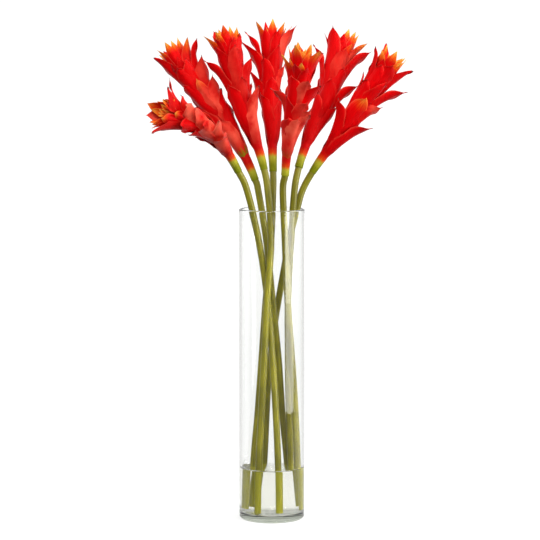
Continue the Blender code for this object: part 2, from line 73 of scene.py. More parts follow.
def read_profile(profile: Profile, place: float) -> float:
    """Reads a profile of (place, value) pairs with straight stretches between them.

    Args:
        profile: The pairs, in rising order of place.
        place: Where to read it.

    Returns:
        The value there, and the end values outside the profile.
    """
    if place <= profile[0][0]:
        return profile[0][1]
    for (near, near_value), (far, far_value) in zip(profile, profile[1:]):
        if place <= far:
            return blend(near_value, far_value, (place - near) / (far - near))
    return profile[-1][1]


@dataclass(frozen=True)
class Leaf:
    """One bract as it is placed on a head.

    Root and tip are distances from the collar along the head's centre line, and reach is how far the tip
    ends from that line. A turn of 0 degrees is to the right as seen from the front, 90 is the front, 180 the
    left. Roll is how many degrees its outer face turns towards the front on the way to the tip, and sway how
    many degrees it goes round the head on that way. Painted highlight is how far its red leans to salmon,
    as a painted highlight for the light that falls on it; crown is how orange its tip is, and foot how green
    its root is, each from 0 to 1.
    """

    root: float
    tip: float
    reach: float
    turn: float
    width: float
    roll: float = 0.0
    # Painted highlight: how much salmon stands in for the light on it; None takes the flower's.
    painted_highlight: float | None = None
    crown: float = 0.0
    foot: float = 0.0
    sway: float = 0.0


@dataclass(frozen=True, kw_only=True)
class Flower:
    """One flower: its centre line, its listed bracts and the small ways in which it differs.

    The route runs from the cut end to the middle of the crown, and collar counts which of its points the
    collar is at. Length is how long the head is, sleeve how far the green reaches up it, and lip how far the
    sleeve's lower edge stands out. The teeth are the bracts of the crown's front.
    """

    name: str
    collar: int = 7
    length: float
    crown_turn: float
    sleeve: float
    lip: float
    # Painted salmon highlight for the bracts that give none of their own.
    painted_highlight: float
    route: tuple[Point, ...]
    leaves: tuple[Leaf, ...]
    teeth: tuple[Leaf, ...]

    CROWN_DEPTH = 0.056

    @property
    def core_top(self) -> float:
        """Returns how far the flat top of the head's core lies from the collar."""
        return self.length - self.CROWN_DEPTH


FLOWERS = (
    Flower(
        name="left_low",
        length=0.180,
        crown_turn=12.0,
        sleeve=0.022,
        lip=0.0002,
        painted_highlight=0.75,
        route=(
            (0.010, -0.026, 0.0125), (0.009, -0.024, 0.085), (0.006, -0.021, 0.158),
            (0.001, -0.016, 0.238), (-0.006, -0.010, 0.323), (-0.019, -0.015, 0.413),
            (-0.036, -0.027, 0.486), (-0.048, -0.033, 0.513), (-0.062, -0.043, 0.539),
            (-0.080, -0.058, 0.563), (-0.107, -0.084, 0.584), (-0.159, -0.129, 0.605),
        ),
        leaves=(
            Leaf(0.028, 0.089, 0.021, 205.0, 0.016, painted_highlight=0.2),
            Leaf(0.030, 0.076, 0.024, 70.0, 0.031, roll=15.0, painted_highlight=0.7),
            Leaf(0.040, 0.098, 0.031, 52.0, 0.031, roll=25.0, painted_highlight=0.9),
            Leaf(0.050, 0.120, 0.026, 84.0, 0.034, painted_highlight=0.7),
            Leaf(0.062, 0.124, 0.021, 140.0, 0.030, painted_highlight=0.2),
            Leaf(0.062, 0.140, 0.031, 50.0, 0.033, roll=10.0, painted_highlight=0.8),
            Leaf(0.076, 0.158, 0.031, 52.0, 0.035, roll=15.0, painted_highlight=1.0),
            Leaf(0.082, 0.162, 0.034, 22.0, 0.030, roll=30.0, painted_highlight=0.5),
            Leaf(0.100, 0.193, 0.040, 26.0, 0.031, roll=35.0, painted_highlight=0.3),
            Leaf(0.112, 0.184, 0.049, 3.0, 0.011, roll=30.0, painted_highlight=0.1),
            Leaf(0.098, 0.190, 0.036, 150.0, 0.027, roll=35.0, painted_highlight=0.5),
            Leaf(0.090, 0.154, 0.025, 108.0, 0.029, roll=15.0, painted_highlight=0.3),
            Leaf(0.036, 0.105, 0.023, 320.0, 0.028),
        ),
        teeth=(
            Leaf(0.122, 0.182, 0.027, 275.0, 0.026, painted_highlight=0.6, crown=0.3),
            Leaf(0.140, 0.190, 0.020, 39.0, 0.015, painted_highlight=0.6, crown=0.8),
            Leaf(0.122, 0.168, 0.019, 76.0, 0.015, painted_highlight=0.7, crown=0.7),
            Leaf(0.126, 0.172, 0.027, 30.0, 0.020, roll=20.0, painted_highlight=0.8, crown=0.4),
            Leaf(0.134, 0.190, 0.023, 150.0, 0.020, roll=35.0, painted_highlight=0.3, crown=0.4),
            Leaf(0.124, 0.187, 0.028, 158.0, 0.019, roll=35.0, painted_highlight=0.2, crown=0.2),
            Leaf(0.132, 0.186, 0.019, 110.0, 0.017, painted_highlight=0.4, crown=0.5),
        ),
    ),
    Flower(
        name="left_top",
        length=0.236,
        crown_turn=5.0,
        sleeve=0.016,
        lip=0.0002,
        painted_highlight=0.55,
        route=(
            (0.026, 0.024, 0.021), (0.023, 0.023, 0.077), (0.016, 0.018, 0.151),
            (0.010, 0.009, 0.235), (0.001, 0.003, 0.323), (-0.008, 0.004, 0.411),
            (-0.020, 0.009, 0.484), (-0.024, 0.010, 0.498), (-0.034, 0.013, 0.522),
            (-0.051, 0.017, 0.554), (-0.074, 0.023, 0.587), (-0.102, 0.029, 0.623),
            (-0.132, 0.035, 0.663), (-0.148, 0.039, 0.689),
        ),
        leaves=(
            Leaf(0.034, 0.102, 0.018, 100.0, 0.034, painted_highlight=0.9, foot=1.0),
            Leaf(0.043, 0.118, 0.026, 35.0, 0.029, roll=25.0, painted_highlight=0.3),
            Leaf(0.066, 0.139, 0.029, 18.0, 0.023, roll=20.0, painted_highlight=0.1),
            Leaf(0.060, 0.140, 0.018, 170.0, 0.032, painted_highlight=0.2),
            Leaf(0.078, 0.162, 0.034, 30.0, 0.027, roll=35.0, painted_highlight=0.6),
            Leaf(0.104, 0.170, 0.021, 72.0, 0.019, painted_highlight=1.0, crown=0.3),
            Leaf(0.098, 0.176, 0.019, 130.0, 0.033, painted_highlight=0.1),
            Leaf(0.110, 0.195, 0.038, 25.0, 0.029, roll=30.0, painted_highlight=0.5),
            Leaf(0.118, 0.200, 0.021, 103.0, 0.032, painted_highlight=0.4),
            Leaf(0.140, 0.224, 0.043, 12.0, 0.018, roll=35.0, painted_highlight=0.1),
            Leaf(0.146, 0.231, 0.030, 156.0, 0.026, roll=20.0, painted_highlight=0.0),
            Leaf(0.135, 0.205, 0.021, 60.0, 0.030, painted_highlight=0.3),
        ),
        teeth=(
            Leaf(0.160, 0.230, 0.034, 30.0, 0.022, roll=25.0, painted_highlight=0.5, crown=0.4),
            Leaf(0.176, 0.238, 0.021, 140.0, 0.016, painted_highlight=0.5, crown=1.0),
            Leaf(0.180, 0.241, 0.013, 96.0, 0.015, painted_highlight=0.5, crown=0.9),
            Leaf(0.180, 0.239, 0.012, 64.0, 0.014, painted_highlight=0.6, crown=1.0),
            Leaf(0.176, 0.238, 0.020, 36.0, 0.015, painted_highlight=0.6, crown=1.0),
            Leaf(0.150, 0.209, 0.019, 118.0, 0.021, painted_highlight=0.1),
            Leaf(0.148, 0.212, 0.017, 82.0, 0.021, painted_highlight=0.1),
        ),
    ),
    Flower(
        name="mid_left",
        length=0.214,
        crown_turn=20.0,
        sleeve=0.020,
        lip=0.0,
        painted_highlight=0.50,
        route=(
            (-0.019, -0.030, 0.0125), (-0.018, -0.029, 0.091), (-0.015, -0.027, 0.159),
            (-0.011, -0.026, 0.240), (-0.007, -0.023, 0.324), (-0.001, -0.015, 0.413),
            (-0.006, -0.005, 0.485), (-0.011, 0.000, 0.514), (-0.019, 0.004, 0.543),
            (-0.030, 0.007, 0.572), (-0.041, 0.009, 0.601), (-0.056, 0.011, 0.662),
            (-0.066, 0.012, 0.708),
        ),
        leaves=(
            Leaf(0.030, 0.122, 0.034, 27.0, 0.029, roll=25.0, painted_highlight=0.9),
            Leaf(0.046, 0.120, 0.018, 150.0, 0.033, painted_highlight=0.1),
            Leaf(0.050, 0.134, 0.023, 118.0, 0.034, painted_highlight=0.1),
            Leaf(0.062, 0.140, 0.019, 65.0, 0.033, painted_highlight=0.5),
            Leaf(0.084, 0.167, 0.033, 20.0, 0.024, roll=25.0, painted_highlight=0.5),
            Leaf(0.088, 0.175, 0.041, 163.0, 0.025, roll=25.0, painted_highlight=0.0),
            Leaf(0.096, 0.188, 0.020, 66.0, 0.033, painted_highlight=0.55),
            Leaf(0.112, 0.190, 0.022, 140.0, 0.031, painted_highlight=0.1),
            Leaf(0.122, 0.203, 0.021, 22.0, 0.022, roll=10.0, painted_highlight=0.3),
        ),
        teeth=(
            Leaf(0.132, 0.209, 0.034, 160.0, 0.021, roll=20.0, painted_highlight=0.4, crown=0.9),
            Leaf(0.150, 0.206, 0.024, 140.0, 0.016, painted_highlight=0.1),
            Leaf(0.150, 0.212, 0.021, 124.0, 0.016, painted_highlight=0.5, crown=1.0),
            Leaf(0.152, 0.219, 0.013, 94.0, 0.018, painted_highlight=0.2, crown=0.2),
            Leaf(0.156, 0.215, 0.013, 62.0, 0.014, painted_highlight=0.6, crown=1.0),
            Leaf(0.148, 0.212, 0.020, 32.0, 0.017, roll=15.0, painted_highlight=0.5, crown=0.9),
            Leaf(0.136, 0.198, 0.018, 60.0, 0.022, painted_highlight=0.2),
        ),
    ),
    Flower(
        name="centre_back",
        length=0.222,
        crown_turn=0.0,
        sleeve=0.024,
        lip=0.0004,
        painted_highlight=0.20,
        route=(
            (-0.030, 0.003, 0.014), (-0.027, 0.004, 0.085), (-0.021, 0.006, 0.153),
            (-0.015, 0.009, 0.235), (-0.009, 0.012, 0.320), (-0.001, 0.017, 0.410),
            (0.002, 0.026, 0.483), (0.002, 0.032, 0.509), (0.001, 0.040, 0.541),
            (0.001, 0.047, 0.570), (-0.002, 0.060, 0.628), (0.000, 0.067, 0.672),
            (0.000, 0.072, 0.716),
        ),
        leaves=(
            Leaf(0.035, 0.110, 0.018, 20.0, 0.033),
            Leaf(0.040, 0.118, 0.018, 140.0, 0.033),
            Leaf(0.060, 0.140, 0.019, 85.0, 0.034),
            Leaf(0.070, 0.147, 0.032, 163.0, 0.027, roll=25.0, painted_highlight=0.0),
            Leaf(0.100, 0.162, 0.022, 30.0, 0.020, painted_highlight=0.5),
            Leaf(0.088, 0.170, 0.020, 120.0, 0.033, painted_highlight=0.1),
            Leaf(0.104, 0.193, 0.048, 160.0, 0.025, roll=25.0, painted_highlight=0.0),
            Leaf(0.106, 0.188, 0.021, 66.0, 0.033, painted_highlight=0.2),
            Leaf(0.130, 0.209, 0.041, 171.0, 0.016, roll=30.0, painted_highlight=0.0),
            Leaf(0.138, 0.217, 0.039, 20.0, 0.022, roll=30.0, painted_highlight=0.5),
        ),
        teeth=(
            Leaf(0.146, 0.223, 0.026, 148.0, 0.022, painted_highlight=0.1, crown=0.6),
            Leaf(0.148, 0.212, 0.018, 118.0, 0.022, painted_highlight=0.0),
            Leaf(0.164, 0.227, 0.011, 84.0, 0.016, painted_highlight=0.6, crown=1.0),
            Leaf(0.156, 0.222, 0.024, 42.0, 0.019, painted_highlight=0.4, crown=0.9),
            Leaf(0.150, 0.219, 0.033, 340.0, 0.014, painted_highlight=0.9, crown=0.3),
            Leaf(0.150, 0.210, 0.018, 62.0, 0.022, painted_highlight=0.1),
            Leaf(0.158, 0.226, 0.019, 240.0, 0.015, painted_highlight=0.0),
        ),
    ),
    Flower(
        name="centre_front",
        length=0.196,
        crown_turn=30.0,
        sleeve=0.012,
        lip=0.0005,
        painted_highlight=0.55,
        route=(
            (0.038, -0.006, 0.0135), (0.037, -0.008, 0.087), (0.033, -0.010, 0.177),
            (0.028, -0.011, 0.251), (0.023, -0.013, 0.325), (0.019, -0.017, 0.413),
            (0.016, -0.026, 0.486), (0.019, -0.030, 0.507), (0.021, -0.036, 0.533),
            (0.025, -0.044, 0.562), (0.030, -0.053, 0.593), (0.037, -0.063, 0.627),
            (0.045, -0.080, 0.689),
        ),
        leaves=(
            Leaf(0.024, 0.096, 0.020, 72.0, 0.032, painted_highlight=0.75, foot=0.2),
            Leaf(0.032, 0.104, 0.028, 36.0, 0.031, roll=20.0, painted_highlight=0.7, foot=0.8),
            Leaf(0.046, 0.112, 0.029, 42.0, 0.029, roll=30.0, painted_highlight=0.6),
            Leaf(0.042, 0.094, 0.019, 106.0, 0.030, painted_highlight=0.5),
            Leaf(0.060, 0.124, 0.020, 135.0, 0.031, painted_highlight=0.1),
            Leaf(0.062, 0.124, 0.029, 62.0, 0.027, roll=15.0, painted_highlight=0.45),
            Leaf(0.078, 0.132, 0.043, 160.0, 0.020, roll=45.0, painted_highlight=0.5),
            Leaf(0.078, 0.148, 0.037, 36.0, 0.031, roll=35.0, painted_highlight=0.2),
            Leaf(0.084, 0.158, 0.021, 122.0, 0.031, painted_highlight=0.2),
            Leaf(0.092, 0.154, 0.026, 66.0, 0.028, roll=15.0, painted_highlight=0.5),
            Leaf(0.112, 0.184, 0.033, 154.0, 0.022, roll=20.0, painted_highlight=0.6, crown=0.8),
        ),
        teeth=(
            Leaf(0.116, 0.197, 0.028, 35.0, 0.026, roll=25.0, painted_highlight=0.5, crown=0.4),
            Leaf(0.128, 0.180, 0.023, 140.0, 0.013, painted_highlight=0.8, crown=1.0),
            Leaf(0.136, 0.202, 0.020, 124.0, 0.020, painted_highlight=0.7, crown=0.7),
            Leaf(0.134, 0.196, 0.017, 60.0, 0.020, painted_highlight=0.3, crown=0.7),
            Leaf(0.128, 0.178, 0.020, 92.0, 0.015, painted_highlight=0.7, crown=1.0),
            Leaf(0.120, 0.176, 0.023, 112.0, 0.021, painted_highlight=0.2),
            Leaf(0.120, 0.172, 0.021, 70.0, 0.021, painted_highlight=0.2),
        ),
    ),
    Flower(
        name="mid_right",
        length=0.212,
        crown_turn=10.0,
        sleeve=0.018,
        lip=0.0010,
        painted_highlight=0.30,
        route=(
            (0.029, 0.012, 0.0165), (0.028, 0.011, 0.083), (0.025, 0.008, 0.174),
            (0.024, 0.005, 0.248), (0.024, 0.002, 0.323), (0.028, -0.003, 0.412),
            (0.033, -0.006, 0.485), (0.039, -0.003, 0.517), (0.047, 0.003, 0.543),
            (0.058, 0.011, 0.571), (0.072, 0.019, 0.600), (0.085, 0.027, 0.632),
            (0.108, 0.043, 0.706),
        ),
        leaves=(
            Leaf(0.030, 0.104, 0.021, 28.0, 0.032, roll=20.0, painted_highlight=0.1),
            Leaf(0.036, 0.112, 0.018, 140.0, 0.033, painted_highlight=0.1),
            Leaf(0.056, 0.138, 0.019, 96.0, 0.034, painted_highlight=0.2),
            Leaf(0.072, 0.143, 0.041, 13.0, 0.026, roll=30.0, painted_highlight=0.3),
            Leaf(0.086, 0.160, 0.018, 60.0, 0.033, painted_highlight=0.2),
            Leaf(0.098, 0.184, 0.043, 188.0, 0.025, roll=25.0, painted_highlight=0.0),
            Leaf(0.108, 0.196, 0.044, 12.0, 0.026, roll=30.0, painted_highlight=0.3),
            Leaf(0.104, 0.214, 0.029, 139.0, 0.034, roll=15.0, painted_highlight=0.0),
            Leaf(0.112, 0.186, 0.021, 78.0, 0.032, painted_highlight=0.5),
        ),
        teeth=(
            Leaf(0.136, 0.205, 0.035, 20.0, 0.020, roll=20.0, painted_highlight=1.0, crown=0.6),
            Leaf(0.136, 0.202, 0.032, 170.0, 0.014, painted_highlight=0.0),
            Leaf(0.146, 0.207, 0.018, 100.0, 0.019, painted_highlight=0.1),
            Leaf(0.156, 0.217, 0.011, 86.0, 0.015, painted_highlight=0.6, crown=1.0),
            Leaf(0.154, 0.216, 0.016, 52.0, 0.015, painted_highlight=0.6, crown=1.0),
            Leaf(0.150, 0.214, 0.020, 34.0, 0.016, painted_highlight=0.5, crown=1.0),
            Leaf(0.138, 0.196, 0.021, 60.0, 0.021, painted_highlight=0.5, crown=0.2),
        ),
    ),
    Flower(
        name="right",
        collar=9,
        length=0.212,
        crown_turn=15.0,
        sleeve=0.021,
        lip=0.0,
        painted_highlight=0.30,
        route=(
            (-0.016, 0.030, 0.0135), (-0.011, 0.029, 0.084), (-0.006, 0.025, 0.186),
            (-0.002, 0.022, 0.231), (0.003, 0.019, 0.276), (0.010, 0.016, 0.321),
            (0.026, 0.010, 0.410), (0.037, 0.008, 0.456), (0.045, 0.008, 0.484),
            (0.059, 0.006, 0.510), (0.080, 0.003, 0.541), (0.105, -0.002, 0.576),
            (0.128, -0.007, 0.609), (0.149, -0.011, 0.637), (0.176, -0.016, 0.679),
        ),
        leaves=(
            Leaf(0.026, 0.106, 0.037, 20.0, 0.031, roll=20.0, painted_highlight=0.1),
            Leaf(0.040, 0.113, 0.035, 155.0, 0.031, roll=25.0, painted_highlight=0.1),
            Leaf(0.060, 0.138, 0.019, 88.0, 0.034, painted_highlight=0.2, crown=0.35),
            Leaf(0.068, 0.140, 0.030, 25.0, 0.028, roll=30.0, painted_highlight=0.6),
            Leaf(0.088, 0.175, 0.046, 14.0, 0.027, roll=35.0, painted_highlight=0.5),
            Leaf(0.090, 0.164, 0.025, 190.0, 0.018, painted_highlight=0.0),
            Leaf(0.084, 0.160, 0.020, 130.0, 0.032, painted_highlight=0.3),
            Leaf(0.092, 0.172, 0.020, 60.0, 0.032, painted_highlight=0.1),
            Leaf(0.104, 0.181, 0.023, 200.0, 0.020, painted_highlight=0.0),
            Leaf(0.118, 0.206, 0.032, 160.0, 0.024, painted_highlight=0.0),
            Leaf(0.120, 0.205, 0.036, 15.0, 0.027, roll=30.0, painted_highlight=0.2),
            Leaf(0.128, 0.197, 0.020, 78.0, 0.033, painted_highlight=0.1),
            Leaf(0.112, 0.190, 0.020, 112.0, 0.032, painted_highlight=0.1),
        ),
        teeth=(
            Leaf(0.148, 0.208, 0.025, 140.0, 0.017, painted_highlight=0.7, crown=1.0),
            Leaf(0.154, 0.215, 0.020, 214.0, 0.014, painted_highlight=0.7, crown=1.0),
            Leaf(0.154, 0.217, 0.012, 92.0, 0.018, painted_highlight=0.4, crown=0.9),
            Leaf(0.150, 0.214, 0.017, 42.0, 0.016, painted_highlight=0.5, crown=1.0),
            Leaf(0.148, 0.207, 0.022, 56.0, 0.017, painted_highlight=0.4, crown=0.9),
            Leaf(0.140, 0.198, 0.020, 118.0, 0.021, painted_highlight=0.1),
        ),
    ),
)


class Nodes:
    """A node tree, with short ways to add and join its nodes."""

    def __init__(self, tree: bpy.types.NodeTree) -> None:
        """Takes the tree that the nodes go into."""
        self.tree = tree

    def add(self, kind: str, **settings: object) -> bpy.types.Node:
        """Adds a node.

        Args:
            kind: The node's type name, without ShaderNode in front.
            settings: Properties to set on it.

        Returns:
            The node.
        """
        node = self.tree.nodes.new("ShaderNode" + kind)
        for name, value in settings.items():
            setattr(node, name, value)
        return node

    def feed(self, socket: Socket, value: object) -> None:
        """Joins another node's socket to a socket, or sets its value.

        Args:
            socket: The input that is fed.
            value: Another node's output, a number, a vector or a colour.
        """
        if isinstance(value, Socket):
            self.tree.links.new(value, socket)
        elif isinstance(value, tuple) and len(value) == 3 and socket.type == "RGBA":
            socket.default_value = (*value, 1.0)
        else:
            socket.default_value = value

    def maths(self, operation: str, first: object, second: object = 0.0) -> Socket:
        """Works out an operation on one or two values.

        Args:
            operation: The Math node's operation.
            first: A socket or a number.
            second: A socket or a number.

        Returns:
            The socket of the result.
        """
        node = self.add("Math", operation=operation)
        self.feed(node.inputs[0], first)
        self.feed(node.inputs[1], second)
        return node.outputs[0]

    def plus(self, first: object, second: object) -> Socket:
        """Returns the sum of two values."""
        return self.maths("ADD", first, second)

    def minus(self, first: object, second: object) -> Socket:
        """Returns the first value less the second."""
        return self.maths("SUBTRACT", first, second)

    def times(self, first: object, second: object) -> Socket:
        """Returns the product of two values."""
        return self.maths("MULTIPLY", first, second)

    def between(self, share: object, low: object, high: object) -> Socket:
        """Returns the number at a share of the way from low to high, where each is a number or a socket."""
        return self.plus(low, self.times(share, self.minus(high, low)))

    def ramp(self, value: object, start: float, end: float, low: float = 0.0, high: float = 1.0) -> Socket:
        """Makes a soft ramp of a value.

        Args:
            value: The socket to read.
            start: The value at which the ramp begins.
            end: The value at which it ends.
            low: The result at the start.
            high: The result at the end.

        Returns:
            The socket of the result, which stays between low and high.
        """
        node = self.add("MapRange", interpolation_type="SMOOTHSTEP")
        for name, number in zip(("From Min", "From Max", "To Min", "To Max"), (start, end, low, high)):
            node.inputs[name].default_value = number
        self.feed(node.inputs["Value"], value)
        return node.outputs["Result"]

    def mix(self, share: object, first: object, second: object) -> Socket:
        """Mixes two colours.

        Args:
            share: How much of the second colour there is.
            first: A colour or a socket.
            second: A colour or a socket.

        Returns:
            The socket of the mixed colour.
        """
        node = self.add("Mix", data_type="RGBA")
        self.feed(node.inputs[0], share)
        self.feed(node.inputs[6], first)
        self.feed(node.inputs[7], second)
        return node.outputs[2]

    def coordinate(self, place: Socket, name: str) -> Socket:
        """Reads one coordinate of a place.

        Args:
            place: The socket of the place.
            name: X, Y or Z.

        Returns:
            The coordinate's socket.
        """
        node = self.add("SeparateXYZ")
        self.feed(node.inputs[0], place)
        return node.outputs[name]

    def counted(self, depth: str, least: int) -> Socket:
        """Tells whether a ray has turned often enough.

        Args:
            depth: Which of the light path's counts is read.
            least: The least count.

        Returns:
            A socket that is 1 for a ray with at least that count, and 0 otherwise.
        """
        past = self.minus(self.add("LightPath").outputs[depth], least - 1.0)
        return self.maths("MINIMUM", self.maths("MAXIMUM", past), 1.0)

    def ways(self) -> tuple[Socket, Socket]:
        """Tells by which way a ray arrives.

        Returns:
            Two sockets: the first is 1 for what is seen straight on or through the glass, the second is 1 for
            what shows as a reflection, and both are 0 where the ray only gathers light.
        """
        ray = self.add("LightPath").outputs
        turns = self.plus(ray["Diffuse Depth"], ray["Glossy Depth"])
        seen = self.maths("MAXIMUM", ray["Is Camera Ray"], self.minus(ray["Is Transmission Ray"], turns))
        shiny = self.minus(ray["Is Glossy Ray"], ray["Diffuse Depth"])
        return seen, self.maths("MAXIMUM", self.minus(shiny, seen))


class Shader(Nodes):
    """A material's node tree, with short ways to add what a finish reads."""

    def __init__(self, name: str) -> None:
        """Starts a material.

        Args:
            name: The material's name.
        """
        self.material = bpy.data.materials.new(name)
        self.material.use_nodes = True
        super().__init__(self.material.node_tree)
        self.tree.nodes.clear()
        self.output = self.add("OutputMaterial")

    def attribute(self, name: str) -> Socket:
        """Returns a number that the mesh holds at each point."""
        return self.add("Attribute", attribute_name=name).outputs["Fac"]

    def object_place(self) -> Socket:
        """Returns the place on the piece, in metres."""
        return self.add("TexCoord").outputs["Object"]

    def blade_map(self, across: float, along: float) -> Socket:
        """Stretches the piece's own UV map.

        Args:
            across: How often a pattern repeats over a blade's width or round a stem.
            along: How often it repeats over the UV map's length.

        Returns:
            The socket of the stretched coordinates.
        """
        place = self.add("UVMap", uv_map="blade")
        stretch = self.add("Mapping", vector_type="POINT")
        self.feed(stretch.inputs["Vector"], place.outputs["UV"])
        stretch.inputs["Scale"].default_value = (across, along, 1.0)
        return stretch.outputs["Vector"]

    def noise(self, place: Socket, scale: float = 1.0, detail: float = 2.0) -> Socket:
        """Adds a noise between 0 and 1.

        Args:
            place: The coordinates that it reads.
            scale: How fine it is.
            detail: How many finer layers it has.

        Returns:
            The noise's socket.
        """
        node = self.add("TexNoise")
        self.feed(node.inputs["Vector"], place)
        node.inputs["Scale"].default_value = scale
        node.inputs["Detail"].default_value = detail
        return node.outputs["Fac"]

    def bump(self, height: object, depth: float, strength: float) -> Socket:
        """Raises the surface's normals.

        Args:
            height: A height from 0 to 1.
            depth: What a height of 1 stands for, in metres.
            strength: How much of it shows.

        Returns:
            The socket of the normals.
        """
        node = self.add("Bump")
        node.inputs["Strength"].default_value = strength
        node.inputs["Distance"].default_value = depth
        self.feed(node.inputs["Height"], height)
        return node.outputs["Normal"]

    def surface(self, **sockets: object) -> Socket:
        """Adds the Principled shader and shows it.

        Args:
            sockets: Values by socket name, with _ for a space.

        Returns:
            The shader's output.
        """
        shader = self.add("BsdfPrincipled")
        for name, value in sockets.items():
            self.feed(shader.inputs[name.replace("_", " ")], value)
        self.feed(self.output.inputs["Surface"], shader.outputs["BSDF"])
        return shader.outputs["BSDF"]


@dataclass(frozen=True)
class ClearFinish:
    """Clear glass or water that bends light and lets the lamps shine through.

    Haze and density say what is left of the light on its way through the body, which shows at the vase's
    edges. Sheen is how strongly the surface mirrors.
    """

    name: str
    colour: Colour
    index: float
    haze: Colour
    density: float
    sheen: float = 0.9

    def build(self) -> Material:
        """Makes the material.

        Returns:
            The material.
        """
        shader = Shader(self.name)
        body = shader.surface(
            Base_Color=self.colour,
            Roughness=0.0,
            IOR=self.index,
            Specular_Tint=(self.sheen, self.sheen, self.sheen),
            Transmission_Weight=1.0,
        )
        open_way = shader.add("BsdfTransparent")
        shader.feed(open_way.inputs["Color"], self.colour)
        choice = shader.add("MixShader")
        shader.feed(choice.inputs[0], shader.add("LightPath").outputs["Is Shadow Ray"])
        shader.feed(choice.inputs[1], body)
        shader.feed(choice.inputs[2], open_way.outputs["BSDF"])
        shader.feed(shader.output.inputs["Surface"], choice.outputs[0])
        depth = shader.add("VolumeAbsorption")
        shader.feed(depth.inputs["Color"], self.haze)
        shader.feed(depth.inputs["Density"], self.density)
        shader.feed(shader.output.inputs["Volume"], depth.outputs["Volume"])
        return shader.material


@dataclass(frozen=True)
class StemFinish:
    """Smooth olive skin of a stem, with fine lengthwise streaks and softly darker stretches. Under the
    waterline it is painted brighter, as painted light for the light that the water gathers.

    Each share says how much of the light green, or under water of the painted underwater light, shows.
    """

    name: str = "stem_skin"
    dark: Colour = (0.078, 0.070, 0.002)
    light: Colour = (0.345, 0.310, 0.013)
    # Painted light: the brighter green under water, standing in for the light that the water gathers.
    soaked: Colour = (0.350, 0.330, 0.010)
    streaks_round: float = 18.0
    streaks_along: float = 9.0
    streak_share: float = 0.35
    patch_scale: float = 16.0
    patch_least: float = 0.10
    patch_most: float = 0.50
    soaked_share: float = 0.75
    wet_edge: float = 0.002
    roughness: float = 0.30
    relief: float = 0.0002

    def build(self) -> Material:
        """Makes the material.

        Returns:
            The material.
        """
        shader = Shader(self.name)
        streaks = shader.noise(shader.blade_map(self.streaks_round, self.streaks_along), detail=3.0)
        patches = shader.noise(shader.object_place(), self.patch_scale)
        share = shader.times(shader.ramp(streaks, 0.25, 0.75), self.streak_share)
        share = shader.plus(share, shader.ramp(patches, 0.35, 0.70, self.patch_least, self.patch_most))
        height = shader.coordinate(shader.object_place(), "Z")
        # Painted light: below the waterline the stem is painted brighter, for the light gathered in the
        # water.
        edge = self.wet_edge
        underwater_painted_light_mask = shader.ramp(height, WATERLINE - edge, WATERLINE + edge, self.soaked_share, 0.0)
        shader.surface(
            Base_Color=shader.mix(underwater_painted_light_mask, shader.mix(share, self.dark, self.light), self.soaked),
            Roughness=self.roughness,
            Specular_IOR_Level=0.40,
            Normal=shader.bump(streaks, self.relief, 0.5),
        )
        return shader.material


